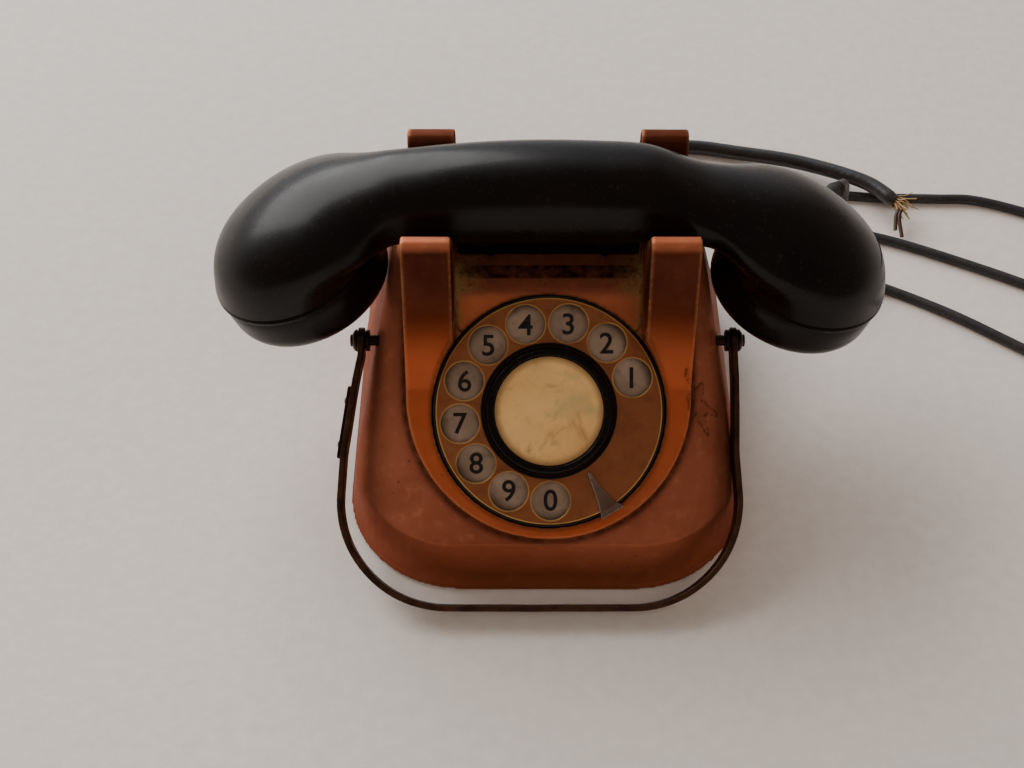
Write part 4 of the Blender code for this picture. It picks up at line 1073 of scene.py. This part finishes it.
def build_cord_boot():
    start = at(100.83, 30.87, 83.68)
    along = at(110.4, 46.0, 75.8) - start
    rotation = Vector((0, 0, 1)).rotation_difference(along).to_matrix().to_4x4()
    length = along.length * 1000
    # Ribs: radius, distance back from the tip
    ribs = [(0, 0), (2.45, 0), (2.9, 0.3), (2.9, 1.0), (2.6, 1.4), (2.7, 2.0), (3.1, 2.3),
            (3.1, 3.2), (2.8, 3.6), (3.0, 4.4), (3.4, 4.7), (3.4, 5.8), (3.1, 6.2)]
    profile = [(r, length - back) for r, back in ribs]
    profile += [(3.6, 3.5), (3.9, 2.0), (3.9, 0.0), (0, 0.0)]
    mesh = turned(rounded(profile, 0.2, 2), Matrix.Translation(start) @ rotation, 40)
    piece("cord_boot", mesh, RUBBER, "handset", "handset_cord_boot")


# --------------------------------------------------------------------- bail
# The bail is drawn flat about its pivot, reaching to -Y, then tipped down at the front
BAIL_FRAME = place(*PIVOT) @ turn(34.0, 'X')
ARM_X, BOW_X, BAIL_REACH, BAIL_CORNER = 66.6, 70.1, 95.0, 38.0


def bail_path():
    straight = BAIL_REACH - BAIL_CORNER
    x = ARM_X + 0.9
    half = [(ARM_X, 0.0), (ARM_X, -5.5), (x, -14.0)]
    half += [(x + (BOW_X - ARM_X - 0.9) * t, -14.0 - (straight - 14.0) * t)
             for t in (0.25, 0.5, 0.75, 1.0)]
    for i in range(1, 25):
        a = math.radians(90 * i / 24)
        half.append((BOW_X - BAIL_CORNER + BAIL_CORNER * math.cos(a),
                     -straight - BAIL_CORNER * math.sin(a)))
    corners = half + [(-x, y) for x, y in half[::-1]]
    path = []
    for (x0, y0), (x1, y1) in zip(corners, corners[1:]):
        count = max(1, int(math.hypot(x1 - x0, y1 - y0) / 2.0))
        path += [(x0 + (x1 - x0) * j / count, y0 + (y1 - y0) * j / count) for j in range(count)]
    path.append(corners[-1])
    # Away from the pivots the bow leans to the left
    return [(x - (2.85 - 0.45 * max(-1.0, min(1.0, x / 50.0)))
             * min(1.0, max(0.0, (-y - 5.5) / 35.0)), y) for x, y in path]


def build_bail_strip():
    section = rounded([(-1.1, -4.5), (1.1, -4.5), (1.1, 4.5), (-1.1, 4.5)], 0.7, 4, closed=True)
    path = bail_path()
    rings, edge = [], []
    for i, (x, y) in enumerate(path):
        (x0, y0), (x1, y1) = path[max(i - 1, 0)], path[min(i + 1, len(path) - 1)]
        along = Vector((x1 - x0, y1 - y0)).normalized()
        wobble = 0.10 * math.sin(i * 0.21) + 0.06 * math.sin(i * 0.57 + 1)
        ring = []
        for thick, wide in section:
            out = thick + wobble * 0.4
            ring.append(BAIL_FRAME @ (Vector((x - along.y * out, y + along.x * out,
                                              wide + wobble)) * MM))
            edge.append(1.0 if abs(wide) > 3.9 else 0.0)
        rings.append(ring)
    mesh = loft(rings)
    store(mesh, "m_edge", edge + [0.0, 0.0])        # the last two are the end caps' centres
    eyes, holes = [], []
    eye = rounded([(0, ARM_X + 1.1), (4.7, ARM_X + 1.1), (4.7, ARM_X - 1.1), (0, ARM_X - 1.1)],
                  0.35)
    for side in (-1, 1):
        matrix = BAIL_FRAME @ Matrix.Rotation(side * math.pi / 2, 4, 'Y')
        eyes.append(turned(eye, matrix, 48))
        holes.append(cylinder(2.2, ARM_X + 4, ARM_X - 4, matrix, 32))
    piece("bail_strip", combined(mesh, eyes, holes), BAIL, "bail",
          "carrying_bail", 35)


def build_bail_fittings():
    """The riveted lap on the left arm and the screws at both pivots."""
    foot_x = ARM_X + 0.92
    lap = plate([round_box(4.1, -43.0, -17.0, 1.6)], 0.0, 1.0, 0.25)
    lap.transform(Matrix.Rotation(-math.pi / 2, 4, 'Y'))
    lap.transform(BAIL_FRAME @ move(-foot_x, 0)
                  @ Matrix.Rotation(-math.atan2(3.8, 26.0), 4, 'Z'))
    store(lap, "m_edge", np.zeros(len(lap.vertices)))
    piece("bail_lap", lap, BAIL, "bail", angle=35)
    rivet = rounded([(0, 0.9), (0.9, 0.75), (1.5, 0.3), (1.75, -0.4), (0, -0.4)], 0.15, 2)
    for k, y in enumerate((-22.0, -37.5)):
        x = -(foot_x + 1.0 + 3.8 / 26.0 * abs(y))
        matrix = (BAIL_FRAME @ Matrix.Translation(Vector((x, y, 0)) * MM)
                  @ Matrix.Rotation(-math.pi / 2, 4, 'Y'))
        piece("bail_rivet_%d" % (k + 1), turned(rivet, matrix, 24), BAIL, "bail")
    screw = rounded([(0, 70.0), (2.2, 69.9), (3.2, 69.5), (3.9, 68.9), (4.1, 68.2), (1.9, 68.2),
                     (1.9, 65.0), (3.9, 65.0), (3.9, 63.8), (1.9, 63.8), (1.9, 57.0), (0, 57.0)],
                    0.2, 2)
    for side, word in ((-1, "left"), (1, "right")):
        matrix = place(*PIVOT) @ Matrix.Rotation(side * math.pi / 2, 4, 'Y')
        piece("bail_screw_" + word, turned(screw, matrix, 48), BAIL,
              replaces="bail_pivot_" + word)


# -------------------------------------------------------------------- cords
THIN_R = 2.15
# Cord paths: x, y, height above the table
SUPPLY = ((-4, 70, 12.5), (-4, 86, 12.5), (-4, 91, 12.4), (1, 112, 6.0), (18, 138, 3.6),
          (44, 152, 3.6), (70, 154.5, 3.6), (92, 150, 4.0), (119, 141, 6.0), (145, 125, 9.0),
          (157.5, 110.5, 9.6))
LEAD = ((12, 70, 12.5), (12, 86, 12.5), (12, 90, 12.4), (17, 106, 6.5), (38, 122, 2.2),
        (80, 128, 2.2), (120, 125, 2.2), (150, 121.5, 2.2), (178, 120.5, 2.2),
        (196, 119.5, 2.2), (218, 111, 2.2), (240, 99, 2.2))
FLEX_END = (110.9, 46.9, 75.45)
FLEX = ((26, 70, 12.5), (26, 86, 12.5), (26, 90, 12.4), (36, 102, 6.5), (62, 108, 2.2),
        (100, 106, 2.2), (128, 101, 2.2), (152, 94, 2.2), (180, 81, 2.2), (207, 66.5, 2.2),
        (231, 51, 2.2), (243, 33, 2.2), (237, 16, 2.2), (219, 15, 2.2), (198, 29.5, 2.2),
        (172, 49, 2.2), (146, 64.5, 2.2), (128, 67, 7.0), (119.5, 62.5, 36.0),
        (115.6, 55.6, 67.0), FLEX_END, (108.0, 42.2, 77.8))


def cord_path(stations):
    return [at(*p) for p in spline(stations, 14)]


def build_frayed_end(end, along):
    """Cotton strands and two conductors from the supply cord's cut end, in metres."""
    side = along.cross(Vector((0, 0, 1))).normalized()
    up = side.cross(along)
    for k in range(26):
        a = RNG.uniform(0, 2 * math.pi)
        root = RNG.uniform(0.3, 2.6)
        out = side * math.cos(a) + up * math.sin(a)
        spread = RNG.uniform(1.2, 5.5)
        length = RNG.uniform(3.0, 8.5)
        strand = [
            end - along * 0.0015 + out * root * MM,
            end + along * length * 0.4 * MM + out * (root + spread * 0.35) * MM,
            end + along * length * MM + out * (root + spread) * MM
            + Vector((0, 0, -RNG.uniform(0.2, 2.0))) * MM,
        ]
        path = [Vector(p) for p in spline(strand, 5)]
        path = [Vector((p.x, p.y, max(p.z, (-FOOT + 0.4) * MM))) for p in path]
        piece("cotton_%02d" % k, tube(path, RNG.uniform(0.16, 0.34), 7), COTTON,
              angle=50)
    for k, (x, y, z) in enumerate(((1.0, -16.0, -6.0), (-1.5, -12.5, -5.2))):
        path = [end - along * 0.004, end + along * 0.003,
                end + Vector((x * 0.4, y * 0.5, z * 0.35)) * MM, end + Vector((x, y, z)) * MM]
        piece("conductor_%d" % k, tube(spline(path, 8), 0.85, 14), WIRE, angle=50)


def build_cords():
    path = cord_path(SUPPLY)
    piece("supply_cord", tube(path, 3.3, 28, taper=0.25), CORD_THICK,
          replaces="line_cord", angle=50)
    build_frayed_end(path[-1], (path[-1] - path[-4]).normalized())
    piece("loose_lead", tube(cord_path(LEAD), THIN_R, 22), CORD_THIN,
          replaces="thin_lead", angle=50)
    flex = piece("handset_flex", tube(cord_path(FLEX), THIN_R, 22), CORD_THIN,
                 body=None, replaces="handset_cord", angle=50)
    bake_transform(flex)
    for x, r, node, name in CORD_EXITS:
        profile = rounded([(r + 0.2, 3.4), (r + 2.6, 3.0), (r + 2.9, 2.0), (r + 1.8, 1.4),
                           (r + 1.8, -3.4), (r + 0.2, -3.4)], 0.3, closed=True)
        piece(name, turned(profile, move(x, 0) @ rear_wall(81.2), 40, closed=True), RUBBER,
              replaces=node)


# --------------------------------------------------------- cradle and base
def build_cradle_and_base():
    bar = plate([round_box(31.9, -5.6, 5.6, 1.6, 6)], 86.0, 94.8, 0.9, DOWN @ move(0, 5.6), 4)
    piece("cradle_bar", bar, BAKELITE, "hook_bar", "hook_bar")
    pad = rounded([(0, 7.2), (1.9, 7.2), (1.9, 3.7), (6.6, 3.7), (7.2, 3.1), (6.4, 0.0),
                   (3.4, 0.0), (3.0, 0.7), (0, 0.7)], 0.3)
    signs = ((-1, -1), (1, -1), (-1, 1), (1, 1))
    for i, (sx, sy) in enumerate(signs, 1):
        piece("rubber_pad_%d" % i, turned(pad, DOWN @ move(sx * PAD_X, sy * PAD_Y), 48), RUBBER,
              replaces="rubber_foot_%d" % i)
    outlines = [round_box(69.0, -80.4, 80.0, 40.0, 16)]
    for x, y, radius in ((57, 42, 2.0), (PAD_X, PAD_Y, 2.3)):
        outlines += [circle(sx * x, sy * y, radius, 20) for sx, sy in signs]
    piece("bottom_plate", plate(outlines, 4.5, 5.2, 0.2, DOWN), DARK,
          replaces="base_plate", angle=30)
    piece("bottom_panel", plate([round_box(32.0, -32.0, 32.0, 2.0)], 4.0, 4.9, 0.25, DOWN),
          DARK, angle=30)


# Finishes of the frame's own parts, by the start of the name; the rest are steel
FRAME_FINISHES = {
    "bell_gong": BRASS, "main_gear": BRASS, "pulse_cam": BRASS, "governor_rotor": BRASS,
    "dial_frame": BRASS, "contact_springs": BRASS, "pulse_contacts": BRASS,
    "terminal_screw": BRASS, "capacitor_can": CAN, "induction_coil": PAPER,
    "ringer_coil": WINDING, "terminal_block": PHENOLIC, "return_spring": DARK,
}


def finish_frame_parts():
    for name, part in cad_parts.items():
        if part.hide_render:
            continue
        finishes = (m for key, m in FRAME_FINISHES.items() if name.startswith(key))
        part.data.materials.clear()
        part.data.materials.append(next(finishes, STEEL))


build_housing()
build_number_plate()
build_finger_wheel()
build_dial_centre()
build_finger_stop()
build_handset_body()
build_cap(EAR, "ear_cap", "earpiece_cap")
build_cap(MOUTH, "mouth_cap", "mouthpiece_cap")
build_cord_boot()
build_bail_strip()
build_bail_fittings()
build_cords()
build_cradle_and_base()
finish_frame_parts()


# ------------------------------------------------------- stage, in metres
def build_floor():
    bm = bmesh.new()
    bmesh.ops.create_grid(bm, x_segments=8, y_segments=8, size=6.0)
    floor = scene_object("floor", to_mesh(bm, outward=False))
    floor.location = (0, 0, -FOOT * MM - 0.0002)
    floor.data.materials.append(floor_material())


def area_light(name, location, target, size, power, colour):
    data = bpy.data.lights.new(name, 'AREA')
    data.shape = 'RECTANGLE'
    data.size, data.size_y = size
    data.energy = power
    data.color = colour
    light = scene_object(name, data)
    light.location = location
    aim = Vector(target) - Vector(location)
    light.rotation_euler = aim.to_track_quat('-Z', 'Y').to_euler()
    return light


def build_world():
    """Warm dim surroundings, brightening to a cool glow behind and to the left."""
    world = bpy.data.worlds.new("soft")
    bpy.context.scene.world = world
    world.use_nodes = True
    nodes, link = world.node_tree.nodes, world.node_tree.links.new
    coords = nodes.new("ShaderNodeTexCoord")
    facing = nodes.new("ShaderNodeVectorMath")
    facing.operation = 'DOT_PRODUCT'
    link(coords.outputs["Generated"], facing.inputs[0])
    facing.inputs[1].default_value = tuple(Vector((-0.42, 0.86, 0.28)).normalized())
    glow = nodes.new("ShaderNodeMapRange")
    glow.interpolation_type = 'SMOOTHSTEP'
    ends = {"From Min": 0.35, "From Max": 0.95, "To Min": 0.0, "To Max": 1.0}
    for key, value in ends.items():
        glow.inputs[key].default_value = value
    link(facing.outputs["Value"], glow.inputs["Value"])
    tone = nodes.new("ShaderNodeMix")
    tone.data_type = 'RGBA'
    link(glow.outputs["Result"], tone.inputs[0])
    tone.inputs[6].default_value = (0.20, 0.155, 0.130, 1)
    tone.inputs[7].default_value = (0.95, 0.97, 1.0, 1)
    link(tone.outputs[2], nodes["Background"].inputs[0])
    nodes["Background"].inputs[1].default_value = 1.0


def build_camera():
    data = bpy.data.cameras.new("camera")
    data.sensor_width = 36
    data.lens = 49.21875
    data.clip_start = 0.01
    camera = scene_object("camera", data)
    camera.location = (-0.0127, -0.3501, 0.433 - FOOT * MM)
    camera.rotation_euler = (math.radians(40), 0, 0)
    bpy.context.scene.camera = camera


build_floor()
area_light("window", location=(-0.95, 1.05, 1.05), target=(0, 0.05, 0.04), size=(1.8, 1.3),
           power=38.0, colour=(1.0, 0.985, 0.965))
fill = area_light("fill", location=(0.15, -0.95, 1.1), target=(0, 0, 0.04), size=(1.4, 1.0),
                  power=6.5, colour=(1.0, 0.86, 0.74))
fill.visible_glossy = False
build_world()
build_camera()
